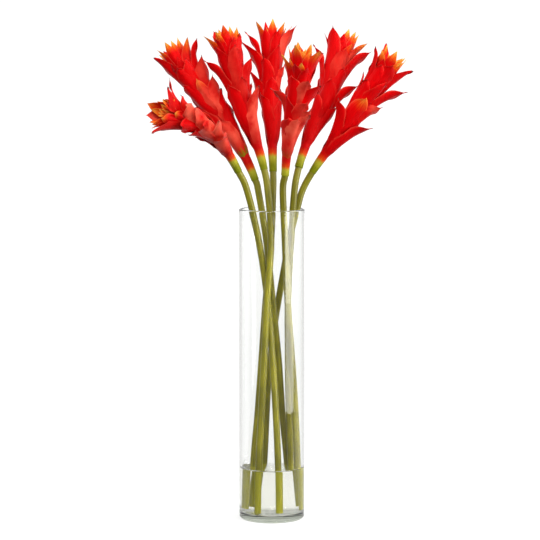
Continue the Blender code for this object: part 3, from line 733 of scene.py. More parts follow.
@dataclass(frozen=True)
class BractFinish:
    """Waxy skin of the bracts: veined red, green at the collar, orange at the crown and dry at the tips.

    The red lies between deep and bright, as a bract's own tint, a soft cloud and the veins say together.
    On top of it lie painted highlights, salmon in patches and pale along the edges, and painted shade at the
    roots.
    """

    name: str = "bract_skin"
    deep: Colour = (0.500, 0.0001, 0.0012)
    bright: Colour = (0.830, 0.0004, 0.0022)
    # Painted highlight: the salmon that stands in for light falling on the bracts.
    warm: Colour = (0.995, 0.1400, 0.0800)
    green: Colour = (0.200, 0.225, 0.006)
    lime: Colour = (0.420, 0.400, 0.030)
    orange: Colour = (0.985, 0.170, 0.010)
    yellow: Colour = (0.960, 0.500, 0.070)
    dry: Colour = (0.085, 0.030, 0.024)
    tint_share: float = 0.55
    cloud_share: float = 0.30
    vein_share: float = 0.15
    veins_across: float = 26.0
    veins_along: float = 1.6
    cloud_scale: float = 38.0
    speckle_scale: float = 260.0
    # Painted highlight along the bracts' edges, least and most, set by each bract's tint.
    edge_least: float = 0.10
    edge_most: float = 0.46
    # Painted shade at the roots of the bracts, where the bracts above overlap them.
    root_shade: float = 0.75
    wander: float = 0.16
    roughness: float = 0.38
    relief: float = 0.00025

    def red(self, shader: Shader, veins: Socket) -> Socket:
        """Mixes the red of the blades, with painted highlights, salmon in patches and pale along the edges,
        and painted shade at the root, where the bracts above overlap it.

        Args:
            shader: The material in the making.
            veins: How light the skin is between its veins.

        Returns:
            The socket of the colour.
        """
        tint = shader.attribute("tint")
        cloud = shader.ramp(shader.noise(shader.object_place(), self.cloud_scale, 3.0), 0.30, 0.72)
        share = shader.times(tint, self.tint_share)
        share = shader.plus(share, shader.times(cloud, self.cloud_share))
        share = shader.plus(share, shader.times(veins, self.vein_share))
        # Painted highlight: pale salmon along both edges, as if the edges caught the light.
        middle = shader.maths("ABSOLUTE", shader.minus(shader.attribute("across"), 0.5))
        edge = shader.ramp(tint, 0.0, 1.0, self.edge_least, self.edge_most)
        edge = shader.times(shader.ramp(middle, 0.40, 0.50), edge)
        # Painted highlight: salmon patches, as strong as the bract's painted highlight number says.
        patch = shader.times(shader.ramp(shader.attribute("painted_highlight"), 0.30, 0.95), cloud)
        glow = shader.maths("MAXIMUM", edge, patch)
        # Painted shade: the root darkens towards the deep red where the bracts above overlap it.
        root = shader.ramp(shader.attribute("along"), 0.10, 0.45, self.root_shade, 0.0)
        red = shader.mix(glow, shader.mix(share, self.deep, self.bright), self.warm)
        return shader.mix(root, red, self.deep)

    def build(self) -> Material:
        """Makes the material.

        Returns:
            The material.
        """
        shader = Shader(self.name)
        along = shader.attribute("along")
        veins = shader.ramp(shader.noise(shader.blade_map(self.veins_across, self.veins_along)), 0.30, 0.70)
        speckle = shader.noise(shader.object_place(), self.speckle_scale, 1.0)
        wander = shader.times(shader.minus(veins, 0.5), self.wander)
        reach = shader.plus(along, wander)
        foot = shader.times(shader.ramp(reach, 0.02, 0.20, 1.0, 0.0), shader.attribute("foot"))
        colour = shader.mix(foot, self.red(shader, veins), self.green)
        crown = shader.attribute("crown")
        for start, end, tone in ((0.63, 0.86, self.orange), (0.79, 0.99, self.yellow)):
            colour = shader.mix(shader.times(shader.ramp(reach, start, end), crown), colour, tone)
        rise = shader.plus(shader.attribute("rise"), shader.times(wander, 0.02))
        collar = (
            (0.000, 0.013, 0.4, self.orange),
            (-0.003, 0.004, 1.0, self.lime),
            (-0.016, -0.002, 1.0, self.green),
        )
        for start, end, share, tone in collar:
            colour = shader.mix(shader.ramp(rise, start, end, share, 0.0), colour, tone)
        tip = shader.times(shader.ramp(along, 0.93, 0.99), shader.attribute("dry"))
        shader.surface(
            Base_Color=shader.mix(tip, colour, self.dry),
            Roughness=shader.ramp(speckle, 0.2, 0.8, self.roughness - 0.06, self.roughness + 0.08),
            Specular_IOR_Level=0.14,
            Specular_Tint=(1.0, 0.50, 0.42),
            Normal=shader.bump(shader.between(0.2, veins, speckle), self.relief, 0.6),
        )
        return shader.material


@dataclass(frozen=True)
class FloorFinish:
    """White board that is lit evenly from below, so that it stays white far from the lamps.

    What the glass mirrors of it is white only behind the vase and where it is mirrored twice, as with a black
    card under the lens, so that the stems show clearly. Shade is its tone for light that only bounces.
    """

    name: str = "white_board"
    dim: float = 0.48
    pale: float = 0.52
    grain: float = 60.0
    glow_near: float = 0.36
    glow_far: float = 0.55
    shade: float = 0.12
    mirror: float = 0.70

    def build(self) -> Material:
        """Makes the material.

        Returns:
            The material.
        """
        shader = Shader(self.name)
        place = shader.object_place()
        distance = shader.add("VectorMath", operation="LENGTH")
        shader.feed(distance.inputs[0], place)
        glow = shader.ramp(distance.outputs["Value"], 0.3, 4.0, self.glow_near, self.glow_far)
        seen, mirrored = shader.ways()
        rear = shader.ramp(shader.coordinate(place, "Y"), -0.12, 0.04)
        white = shader.times(shader.maths("MAXIMUM", rear, shader.counted("Glossy Depth", 2)), self.mirror)
        dim, pale, shade = ((tone, tone, tone) for tone in (self.dim, self.pale, self.shade))
        board = shader.mix(shader.noise(place, self.grain), dim, pale)
        shader.surface(
            Base_Color=shader.mix(seen, shade, board),
            Roughness=0.8,
            Specular_IOR_Level=0.1,
            Emission_Color=(1.0, 1.0, 1.0),
            Emission_Strength=shader.between(seen, shader.times(mirrored, white), glow),
        )
        return shader.material


@dataclass
class CentreLine:
    """A smooth line through points, read by the distance from its first point."""

    points: tuple[Point, ...]
    samples: list[Vector] = field(init=False, default_factory=list)
    marks: list[float] = field(init=False, default_factory=list)

    STEPS = 12
    NEAR = 0.004

    def __post_init__(self) -> None:
        """Samples the line and measures it."""
        knots = [Vector(point) for point in self.points]
        knots.insert(0, knots[0] * 2.0 - knots[1])
        knots.append(knots[-1] * 2.0 - knots[-2])
        for before, start, end, after in zip(knots, knots[1:], knots[2:], knots[3:]):
            leave = start + (end - before) / 6.0
            arrive = end - (after - start) / 6.0
            self.samples += interpolate_bezier(start, leave, arrive, end, self.STEPS + 1)[:-1]
        self.samples.append(knots[-2])
        self.marks.append(0.0)
        for near, far in zip(self.samples, self.samples[1:]):
            self.marks.append(self.marks[-1] + (far - near).length)

    def mark(self, index: int) -> float:
        """Returns how far along the line one of its points lies."""
        return self.marks[index * self.STEPS]

    def place(self, distance: float) -> Vector:
        """Finds a place on the line, or straight on past either end.

        Args:
            distance: How far it is from the first point.

        Returns:
            The place.
        """
        index = sum(1 for mark in self.marks[1:-1] if mark <= distance)
        start = self.samples[index]
        heading = (self.samples[index + 1] - start).normalized()
        return start + heading * (distance - self.marks[index])

    def heading(self, distance: float) -> Vector:
        """Returns the line's unit direction at a distance."""
        return (self.place(distance + self.NEAR) - self.place(distance - self.NEAR)).normalized()


@dataclass
class Axis:
    """The centre line of one flower, with distances that count from its collar."""

    flower: Flower
    line: CentreLine = field(init=False)
    collar: float = field(init=False)

    def __post_init__(self) -> None:
        """Makes the line and finds the collar on it."""
        self.line = CentreLine(self.flower.route)
        self.collar = self.line.mark(self.flower.collar)

    def place(self, distance: float) -> Vector:
        """Returns the place at a distance from the collar."""
        return self.line.place(self.collar + distance)

    def directions(self, distance: float, turn: float) -> tuple[Vector, Vector, Vector]:
        """Finds the directions at a place on the head.

        Args:
            distance: How far from the collar.
            turn: Degrees round the head, with 0 to the right and 90 to the front.

        Returns:
            The unit vectors along the head, outwards at the turn, and sideways there.
        """
        along = self.line.heading(self.collar + distance)
        right = along.cross(FRONT).normalized()
        front = right.cross(along)
        outward = right * math.cos(math.radians(turn)) + front * math.sin(math.radians(turn))
        return along, outward, along.cross(outward)

    def matrix(self, distance: float, radius: float) -> Matrix:
        """Finds the matrix that puts a unit circle round the line.

        Args:
            distance: How far from the collar.
            radius: The circle's radius there.

        Returns:
            The matrix.
        """
        along, outward, sideways = self.directions(distance, 270.0)
        turned = Matrix((outward, sideways, along)).transposed().to_4x4()
        scaled = Matrix.Diagonal((radius, radius, radius, 1.0))
        return Matrix.Translation(self.place(distance)) @ turned @ scaled


@dataclass
class Piece:
    """A mesh in the making, with the numbers that its finish reads at each point."""

    name: str
    shape: Shape = field(init=False)

    MARKS = ("across", "along", "rise", "tint", "painted_highlight", "foot", "crown", "dry")
    SHARP = 42.0
    WRAP = 0.6

    def __post_init__(self) -> None:
        """Starts an empty mesh."""
        self.shape = self.start()

    @classmethod
    def start(cls) -> Shape:
        """Starts a mesh that has the layers.

        Returns:
            The empty mesh.
        """
        shape = bmesh.new()
        for mark in cls.MARKS:
            shape.verts.layers.float.new(mark)
        shape.loops.layers.uv.new("blade")
        return shape

    @staticmethod
    def write(shape: Shape, verts: list[bmesh.types.BMVert], **marks: float) -> None:
        """Writes numbers to points.

        Args:
            shape: The mesh of the points.
            verts: The points.
            marks: The numbers, by layer.
        """
        for name, value in marks.items():
            layer = shape.verts.layers.float[name]
            for vert in verts:
                vert[layer] = value

    def take(self, shape: Shape) -> None:
        """Adds a finished part to the piece.

        Args:
            shape: The part's mesh, which is freed.
        """
        part = bpy.data.meshes.new("part")
        shape.to_mesh(part)
        shape.free()
        self.shape.from_mesh(part)
        bpy.data.meshes.remove(part)

    def lay_map(self) -> None:
        """Writes the UV map from the layers across and along, with a clean seam down a tube."""
        across = self.shape.verts.layers.float["across"]
        along = self.shape.verts.layers.float["along"]
        spread = self.shape.loops.layers.uv["blade"]
        for face in self.shape.faces:
            places = [loop.vert[across] for loop in face.loops]
            wraps = max(places) - min(places) > self.WRAP
            for loop, place in zip(face.loops, places):
                shift = 1.0 if wraps and place < 0.5 else 0.0
                loop[spread].uv = (place + shift, loop.vert[along])

    def finish(self, material: Material, slot: str, node: str) -> None:
        """Makes the piece's object, puts it under the root body and hides the CAD part that it stands for.

        Args:
            material: What it is dressed in.
            slot: Not used.
            node: The CAD node that it stands for.
        """
        self.lay_map()
        mesh = bpy.data.meshes.new(self.name)
        self.shape.to_mesh(mesh)
        self.shape.free()
        mesh.shade_smooth()
        mesh.set_sharp_from_angle(angle=math.radians(self.SHARP))
        mesh.materials.append(material)
        thing = bpy.data.objects.new(self.name, mesh)
        bpy.context.scene.collection.objects.link(thing)
        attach(thing, BODY)
        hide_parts(node)
        LOG.info("%s: %d faces", self.name, len(mesh.polygons))


@dataclass(frozen=True)
class BladeForm:
    """The shape that all blades of one kind share.

    The outline gives the share of the width at shares of the length, and across and along count the mesh's
    steps. The blade lies a layer above its core, spreads a little and bends away with the given power, and
    from part on its fold narrows to a keel of the given radius. Ridge, pleat and ripple are the heights of
    its midrib, of the soft fold along its middle and of the waves of its edges.
    """

    outline: Profile
    across: int
    along: int
    thickness: float
    layer: float
    spread: float
    part: float
    power: float
    keel: float
    ridge: float
    pleat: float
    ripple: float


class BladeKind(Enum):
    """The kinds of blade on a flower."""

    BRACT = BladeForm(
        outline=(
            (0.00, 0.78), (0.14, 0.92), (0.32, 1.00), (0.50, 0.99), (0.64, 0.90), (0.75, 0.74),
            (0.83, 0.54), (0.89, 0.34), (0.935, 0.16), (0.965, 0.06), (1.00, 0.02),
        ),
        across=10,
        along=28,
        thickness=0.0007,
        layer=0.0015,
        spread=0.020,
        part=0.40,
        power=2.5,
        keel=0.0110,
        ridge=0.0005,
        pleat=0.0026,
        ripple=0.0018,
    )
    CROWN = BladeForm(
        outline=(
            (0.00, 0.78), (0.20, 0.95), (0.45, 1.00), (0.62, 0.92), (0.76, 0.68), (0.87, 0.38),
            (0.95, 0.14), (1.00, 0.02),
        ),
        across=8,
        along=22,
        thickness=0.0007,
        layer=0.0009,
        spread=0.010,
        part=0.50,
        power=2.6,
        keel=0.0085,
        ridge=0.0003,
        pleat=0.0016,
        ripple=0.0006,
    )
    TUFT = BladeForm(
        outline=(
            (0.00, 0.80), (0.30, 0.98), (0.52, 1.00), (0.72, 0.80), (0.86, 0.46), (0.95, 0.17), (1.00, 0.02),
        ),
        across=6,
        along=14,
        thickness=0.0006,
        layer=0.0005,
        spread=0.0,
        part=0.35,
        power=1.9,
        keel=0.0040,
        ridge=0.0002,
        pleat=0.0014,
        ripple=0.0003,
    )


@dataclass(frozen=True)
class Looks:
    """The numbers that a blade's finish reads: each is between 0 and 1."""

    tint: float
    # Painted salmon highlight.
    painted_highlight: float
    crown: float
    foot: float = 0.0
    dry: float = 0.0


@dataclass
class Blade:
    """One bract: a thin keeled leaf that hugs its core, then bends away and runs out in a fine tail."""

    kind: BladeKind
    leaf: Leaf
    looks: Looks
    core: Profile
    phase: float

    SINK = 0.0012
    SETTLE = 0.16
    TIP_SLOWING = 0.30
    STEP = 0.02
    WIDEST_FOLD = 1.75
    RIDGE_WIDTH = 0.16
    PLEAT_START = 0.5
    WAVES = 15.0
    WAVE_SLANT = 1.7
    WAVE_START = 0.4
    TIP_WALL = 0.35

    def middle(self, axis: Axis, share: float) -> tuple[Vector, Vector, Vector, float]:
        """Finds the blade's middle at a share of its length.

        Args:
            axis: The flower's centre line.
            share: The share of the blade's length.

        Returns:
            The place, the unit vectors sideways and outwards, and how far it lies from the centre line.
        """
        form = self.kind.value
        span = self.leaf.tip - self.leaf.root
        distance = self.leaf.root + span * (share + self.TIP_SLOWING * share * (1.0 - share))
        held = max(0.0, share)
        lift = blend(-self.SINK, form.layer, min(1.0, held / self.SETTLE))
        lift += form.spread * span * held
        tip_radius = read_profile(self.core, self.leaf.tip)
        flare = self.leaf.reach - tip_radius - form.layer - form.spread * span
        lift += flare * held ** form.power
        turn = self.leaf.turn + self.leaf.sway * held ** 2
        _, outward, sideways = axis.directions(distance, turn)
        away = read_profile(self.core, distance) + lift
        return axis.place(distance) + outward * away, sideways, outward, away

    def surface(self, axis: Axis, across: float, share: float) -> Vector:
        """Finds a point on the blade's outer face.

        Args:
            axis: The flower's centre line.
            across: From -1 at the left edge to 1 at the right edge.
            share: The share of the blade's length.

        Returns:
            The place.
        """
        form = self.kind.value
        place, sideways, outward, away = self.middle(axis, share)
        ahead = self.middle(axis, share + self.STEP)[0]
        behind = self.middle(axis, share - self.STEP)[0]
        normal = (ahead - behind).cross(sideways).normalized()
        if normal.dot(outward) < 0.0:
            normal.negate()
        side = -1.0 if math.cos(math.radians(self.leaf.turn)) > 0.0 else 1.0
        rolled = Matrix.Rotation(math.radians(self.leaf.roll) * side * ease(share), 3, normal.cross(sideways))
        normal = rolled @ normal
        sideways = rolled @ sideways
        half = self.leaf.width * 0.5 * read_profile(form.outline, share)
        fold = blend(away, form.keel, ease((share - form.part) / (1.0 - form.part)))
        angle = across * min(half / fold, self.WIDEST_FOLD)
        ridge = form.ridge * math.exp(-((across / self.RIDGE_WIDTH) ** 2)) * (1.0 - share)
        ridge += form.pleat * (1.0 - abs(across)) * ease(share / self.PLEAT_START) * (1.0 - share ** 3)
        wave = math.sin(share * self.WAVES + self.phase + self.WAVE_SLANT * across) * abs(across) ** 3
        ripple = form.ripple * wave * ease(share / self.WAVE_START)
        return (
            place
            + sideways * (fold * math.sin(angle))
            + normal * (fold * (math.cos(angle) - 1.0) + ridge + ripple)
        )

    def grow(self, axis: Axis) -> Shape:
        """Makes the blade.

        Args:
            axis: The flower's centre line.

        Returns:
            A closed mesh of its own.
        """
        form = self.kind.value
        shape = Piece.start()
        bmesh.ops.create_grid(shape, x_segments=form.across, y_segments=form.along, size=0.5)
        layers = shape.verts.layers.float
        across_layer, along_layer, rise_layer = (layers[name] for name in ("across", "along", "rise"))
        for vert in shape.verts:
            across = vert.co.x + 0.5
            along = vert.co.y + 0.5
            vert[across_layer] = across
            vert[along_layer] = along
            vert[rise_layer] = blend(self.leaf.root, self.leaf.tip, along) - axis.flower.sleeve
            vert.co = self.surface(axis, 2.0 * across - 1.0, along)
        Piece.write(shape, list(shape.verts), **asdict(self.looks))
        tip = [vert for vert in shape.verts if vert[along_layer] > 0.999]
        bmesh.ops.pointmerge(shape, verts=tip, merge_co=self.middle(axis, 1.0)[0])
        bmesh.ops.recalc_face_normals(shape, faces=shape.faces)
        self.thicken(shape, self.middle(axis, 0.5)[2])
        return shape

    def thicken(self, shape: Shape, outward: Vector) -> None:
        """Gives the sheet its wall, which thins towards the tip.

        Args:
            shape: The blade's outer face.
            outward: The direction that the face looks in.
        """
        along_layer = shape.verts.layers.float["along"]
        shape.normal_update()
        if sum(face.normal.dot(outward) for face in shape.faces) < 0.0:
            bmesh.ops.reverse_faces(shape, faces=shape.faces)
            shape.normal_update()
        normals = {vert.co.copy().freeze(): vert.normal.copy() for vert in shape.verts}
        made = bmesh.ops.extrude_face_region(shape, geom=list(shape.faces), use_keep_orig=True)
        for vert in made["geom"]:
            if isinstance(vert, bmesh.types.BMVert):
                wall = self.kind.value.thickness * blend(1.0, self.TIP_WALL, vert[along_layer])
                vert.co -= normals[vert.co.copy().freeze()] * wall
        bmesh.ops.recalc_face_normals(shape, faces=shape.faces)


@dataclass
class Tube:
    """A round stem or core that is drawn out along a flower's centre line."""

    axis: Axis
    profile: Profile
    rings: int
    sides: int

    def grow(self, start: float, end: float, rise_from: float, **marks: float) -> Shape:
        """Draws the tube out from a circle.

        Args:
            start: Where it begins, as a distance from the collar.
            end: Where it ends.
            rise_from: The distance at which the number rise is 0.
            marks: Other numbers for its finish.

        Returns:
            A closed mesh of its own.
        """
        shape = Piece.start()
        across = shape.verts.layers.float["across"]
        bmesh.ops.create_circle(shape, cap_ends=True, segments=self.sides, radius=1.0)
        ring = list(shape.verts)
        for index, vert in enumerate(ring):
            vert[across] = index / self.sides
        edges = list(shape.edges)
        last = Matrix.Identity(4)
        for index in range(self.rings + 1):
            distance = blend(start, end, index / self.rings)
            here = self.axis.matrix(distance, read_profile(self.profile, distance))
            if index:
                made = bmesh.ops.extrude_edge_only(shape, edges=edges)["geom"]
                ring = [part for part in made if isinstance(part, bmesh.types.BMVert)]
                edges = [part for part in made if isinstance(part, bmesh.types.BMEdge)]
            bmesh.ops.transform(shape, matrix=here @ last.inverted(), verts=ring)
            last = here
            Piece.write(shape, ring, along=distance, rise=distance - rise_from)
        bmesh.ops.contextual_create(shape, geom=edges)
        Piece.write(shape, list(shape.verts), **marks)
        bmesh.ops.recalc_face_normals(shape, faces=shape.faces)
        return shape


@dataclass
class Stem:
    """A bare stem from its cut end in the water to the socket of its head."""

    axis: Axis
    radius: float = 0.0049
    socket: float = 0.0120
    gap: float = 0.0003
    ring_gap: float = 0.0040
    sides: int = 28

    def build(self, material: Material) -> None:
        """Makes the stem and dresses it.

        Args:
            material: The stem's skin.
        """
        start = -self.axis.collar
        profile = (
            (start, self.radius * 0.99),
            (start + 0.10, self.radius),
            (-0.060, self.radius),
            (-0.004, self.radius * 1.02),
            (self.socket, self.radius),
        )
        rings = round((self.socket - start) / self.ring_gap)
        piece = Piece("green_stem_" + self.axis.flower.name)
        piece.take(Tube(self.axis, profile, rings, self.sides).grow(start, self.socket - self.gap, start))
        piece.finish(material, "stem_green", "stem_" + self.axis.flower.name)


@dataclass
class Head:
    """A flower's head: its green sleeve, its core and the bracts that grow from it.

    The bracts of the front are lifted a little and rolled by small draws, so that each stands out.
    """

    axis: Axis
    draw: random.Random
    ring_gap: float = 0.0012
    sides: int = 32
    crown_root: float = 0.078
    crown_count: int = 4
    front_lift: float = 0.005
    front_roll: float = 14.0
    # Painted highlight: how much it differs between bracts, and how much less of it crown bracts get.
    warmth_spread: float = 0.08
    crown_cooling: float = 0.6

    CORE = (
        (0.000, 0.0055), (0.010, 0.0059), (0.022, 0.0065), (0.040, 0.0071), (0.060, 0.0081),
        (0.080, 0.0095), (0.110, 0.0111), (0.150, 0.0121), (0.250, 0.0140),
    )
    BACK = ((0.12, 260.0), (0.24, 305.0), (0.34, 235.0), (0.45, 280.0), (0.56, 320.0), (0.63, 245.0))

    def sleeve_profile(self) -> Profile:
        """Gives the core's profile a soft lip round the sleeve's lower edge.

        Returns:
            The new profile.
        """
        base = self.CORE[0][1]
        lip = self.axis.flower.lip
        return ((0.0, base - 0.0003), (0.0006, base + lip), (0.0030, base + lip * 0.6)) + self.CORE[1:]

    def looks(self, leaf: Leaf) -> Looks:
        """Finds the looks of a blade, with small drawn differences.

        Args:
            leaf: How it is placed.

        Returns:
            Its looks.
        """
        # Painted highlight of the blade, drawn near the given one and lessened on orange crown bracts.
        painted_highlight = self.axis.flower.painted_highlight if leaf.painted_highlight is None else leaf.painted_highlight
        cooling = 1.0 - self.crown_cooling * leaf.crown
        return Looks(
            tint=self.draw.uniform(0.0, 1.0),
            painted_highlight=min(1.0, max(0.0, self.draw.gauss(painted_highlight, self.warmth_spread))) * cooling,
            crown=leaf.crown,
            foot=leaf.foot,
            dry=(1.0 - leaf.crown) * abs(math.cos(math.radians(leaf.turn))),
        )

    def back(self) -> list[Leaf]:
        """Places the bracts of the back, by a rule with small drawn differences.

        Returns:
            The bracts.
        """
        length = self.axis.flower.length
        leaves = []
        for share, turn in self.BACK:
            root = length * share
            leaves.append(Leaf(
                root,
                root + length * self.draw.uniform(0.33, 0.39),
                self.draw.uniform(0.021, 0.034),
                turn + self.draw.uniform(-12.0, 12.0),
                self.draw.uniform(0.027, 0.031),
                roll=self.draw.uniform(-15.0, 15.0),
                sway=self.draw.uniform(-9.0, 9.0),
            ))
        return leaves

    def crown(self) -> list[Leaf]:
        """Places the back half of the ring of shorter bracts round the crown.

        Returns:
            The bracts.
        """
        length = self.axis.flower.length
        leaves = []
        for index in range(self.crown_count):
            leaves.append(Leaf(
                length - self.crown_root + self.draw.uniform(-0.004, 0.004),
                length + self.draw.uniform(-0.010, 0.001),
                self.draw.uniform(0.016, 0.023),
                blend(200.0, 355.0, index / (self.crown_count - 1)) + self.draw.uniform(-8.0, 8.0),
                self.draw.uniform(0.018, 0.021),
                crown=self.draw.uniform(0.3, 1.0),
                sway=self.draw.uniform(-6.0, 6.0),
            ))
        return leaves

    def build(self, material: Material) -> None:
        """Makes the head and dresses it.

        Args:
            material: The bracts' skin.
        """
        flower = self.axis.flower
        piece = Piece("flower_head_" + flower.name)
        core = Tube(self.axis, self.sleeve_profile(), round(flower.core_top / self.ring_gap), self.sides)
        # The core carries the flower's painted highlight too.
        piece.take(core.grow(0.0, flower.core_top, flower.sleeve, tint=0.4, painted_highlight=flower.painted_highlight))
        groups = (
            (BladeKind.BRACT, [*flower.leaves, *self.back()]),
            (BladeKind.CROWN, [*flower.teeth, *self.crown()]),
        )
        for kind, leaves in groups:
            for leaf in leaves:
                front = max(0.0, math.sin(math.radians(leaf.turn))) ** 2
                leaf = replace(
                    leaf,
                    reach=leaf.reach + self.front_lift * front,
                    roll=leaf.roll + self.draw.gauss(0.0, self.front_roll) * front,
                )
                blade = Blade(kind, leaf, self.looks(leaf), self.CORE, self.draw.uniform(0.0, 6.0))
                piece.take(blade.grow(self.axis))
        piece.finish(material, "bract_red", "head_" + flower.name)


@dataclass
class Tuft:
    """The orange and yellow bracts in the middle of a crown, which wind round a short plug."""

    axis: Axis
    draw: random.Random
    count: int = 11
    gap: float = 0.0003
    rings: int = 14
    sides: int = 20
    sink: float = 0.004

    PLUG = ((0.000, 0.0070), (0.018, 0.0050), (0.030, 0.0012))
    GOLDEN_ANGLE = 137.5

    def build(self, material: Material) -> None:
        """Makes the tuft and dresses it.

        Args:
            material: The tuft's skin.
        """
        flower = self.axis.flower
        base = flower.core_top + self.gap
        plug = tuple((base + height, radius) for height, radius in self.PLUG)
        piece = Piece("orange_tuft_" + flower.name)
        stub = Tube(self.axis, plug, self.rings, self.sides)
        # The plug carries painted highlight as well.
        piece.take(stub.grow(base, base + self.PLUG[-1][0], 0.0, tint=0.6, painted_highlight=0.8, crown=0.5))
        for index in range(self.count):
            spread = (index + 0.5) / self.count
            leaf = Leaf(
                base + self.sink,
                flower.length + blend(-0.003, -0.012, spread) + self.draw.uniform(-0.002, 0.002),
                blend(0.003, 0.0165, spread),
                flower.crown_turn + self.GOLDEN_ANGLE * index + self.draw.uniform(-6.0, 6.0),
                self.draw.uniform(0.0105, 0.0130),
            )
            # Painted highlight is drawn for each of the tuft's bracts.
            looks = Looks(
                tint=self.draw.uniform(0.4, 1.0),
                painted_highlight=self.draw.uniform(0.6, 1.0),
                crown=self.draw.uniform(0.8, 1.0),
            )
            blade = Blade(BladeKind.TUFT, leaf, looks, plug, self.draw.uniform(0.0, 6.0))
            piece.take(blade.grow(self.axis))
        piece.finish(material, "tuft_orange", "tuft_" + flower.name)


@dataclass
class Vase:
    """The clear glass cylinder and the water in it.

    Foot and corner are the rounding radii outside and inside at the floor, and swell is how far the rim's
    bead stands out. Bands are the heights of rings that keep the tall wall's faces short, with one more where
    the rim begins. The underside is hollowed a little inside its standing ring. The water creeps up the glass
    over a narrow margin, and overlaps it.
    """

    height: float = 0.4572
    radius: float = 0.0477
    wall: float = 0.0035
    floor: float = 0.0100
    foot: float = 0.0040
    corner: float = 0.0030
    swell: float = 0.0003
    rim: float = 0.0100
    bands: tuple[float, ...] = (0.05, 0.15, 0.25, 0.35, 0.43)
    standing_ring: float = 0.0040
    hollow_slope: float = 0.0050
    hollow_edge: float = 0.0009
    hollow: float = 0.0014
    creep: float = 0.0024
    margin: float = 0.0060
    overlap: float = 0.0003
    steps: int = 128
    corner_steps: int = 8
    bead_steps: int = 16
    creep_steps: int = 8

    @staticmethod
    def point(across: float, height: float) -> Vector:
        """Returns a point of a section."""
        return Vector((across, 0.0, height))

    def arc(
        self, centre: tuple[float, float], radius: float, start: float, end: float, steps: int
    ) -> list[Vector]:
        """Draws an arc of a section.

        Args:
            centre: Its centre, as the distance from the Z axis and the height.
            radius: Its radius.
            start: Where it starts, in degrees.
            end: Where it ends.
            steps: How many stretches it has.

        Returns:
            The points.
        """
        points = []
        for step in range(steps + 1):
            angle = math.radians(blend(start, end, step / steps))
            across = centre[0] + radius * math.cos(angle)
            points.append(self.point(across, centre[1] + radius * math.sin(angle)))
        return points

    def glass_section(self) -> list[Vector]:
        """Draws the glass's section, from the middle of its floor over the rim to the middle underneath.

        Returns:
            The points.
        """
        inner = self.radius - self.wall
        bead = self.wall / 2.0 + self.swell
        heights = (*self.bands, self.height - self.rim)
        ring = self.radius - self.foot - self.standing_ring
        section = [self.point(0.0, self.floor)]
        corner = (inner - self.corner, self.floor + self.corner)
        section += self.arc(corner, self.corner, -90.0, 0.0, self.corner_steps)
        section += [self.point(inner, height) for height in heights]
        middle = (self.radius - self.wall / 2.0, self.height - bead)
        section += self.arc(middle, bead, 180.0, 0.0, self.bead_steps)
        section += [self.point(self.radius, height) for height in reversed(heights)]
        foot = (self.radius - self.foot, self.foot)
        section += self.arc(foot, self.foot, 0.0, -90.0, self.corner_steps)
        section.append(self.point(ring, 0.0))
        section.append(self.point(ring - self.hollow_slope, self.hollow_edge))
        section.append(self.point(0.0, self.hollow))
        return section

    def water_section(self) -> list[Vector]:
        """Draws the water's section, with the thin edge that creeps up the glass.

        Returns:
            The points.
        """
        inner = self.radius - self.wall
        section = [self.point(0.0, WATERLINE)]
        for step in range(self.creep_steps + 1):
            share = step / self.creep_steps
            across = inner - self.margin * (1.0 - share)
            section.append(self.point(across, WATERLINE + self.creep * share ** 3))
        section.append(self.point(inner + self.overlap, WATERLINE + self.creep))
        corner = (inner - self.corner, self.floor + self.corner)
        section += self.arc(corner, self.corner + self.overlap, 0.0, -90.0, self.corner_steps)
        section.append(self.point(0.0, self.floor - self.overlap))
        return section

    def turned(self, name: str, section: list[Vector]) -> Piece:
        """Spins a section into a closed piece.

        Args:
            name: The piece's name.
            section: The section's points, with both ends on the Z axis.

        Returns:
            The piece.
        """
        piece = Piece(name)
        shape = piece.shape
        verts = [shape.verts.new(point) for point in section]
        edges = [shape.edges.new(pair) for pair in zip(verts, verts[1:])]
        bmesh.ops.spin(
            shape,
            geom=verts + edges,
            cent=(0.0, 0.0, 0.0),
            axis=(0.0, 0.0, 1.0),
            angle=2.0 * math.pi,
            steps=self.steps,
            use_merge=True,
        )
        bmesh.ops.remove_doubles(shape, verts=shape.verts, dist=0.000001)
        bmesh.ops.recalc_face_normals(shape, faces=shape.faces)
        return piece

    def build(self, glass: Material, water: Material) -> None:
        """Makes the vase and its water and dresses them."""
        self.turned("glass_vase", self.glass_section()).finish(glass, "clear_glass", "vase")
        self.turned("still_water", self.water_section()).finish(water, "clear_water", "water")


@dataclass(frozen=True, kw_only=True)
class Softbox:
    """A soft studio lamp that faces the object.

    Its azimuth is in degrees to the right of the front. A lamp that doesn't light only gleams in the glass,
    and one that doesn't gleam only lights.
    """

    name: str
    azimuth: float
    height: float
    distance: float
    width: float
    tall: float
    radiance: float
    lights: bool = True
    gleams: bool = True

    def build(self, aim: Vector) -> None:
        """Makes the lamp.

        Args:
            aim: Where it points.
        """
        lamp = bpy.data.lights.new(self.name, "AREA")
        lamp.shape = "RECTANGLE"
        lamp.size = self.width
        lamp.size_y = self.tall
        lamp.energy = self.radiance * math.pi * self.width * self.tall
        thing = bpy.data.objects.new(self.name, lamp)
        turn = math.radians(self.azimuth)
        thing.location = (self.distance * math.sin(turn), -self.distance * math.cos(turn), self.height)
        thing.rotation_euler = (aim - thing.location).to_track_quat("-Z", "Y").to_euler()
        thing.visible_diffuse = self.lights
        thing.visible_glossy = self.gleams
        thing.visible_camera = False
        bpy.context.scene.collection.objects.link(thing)


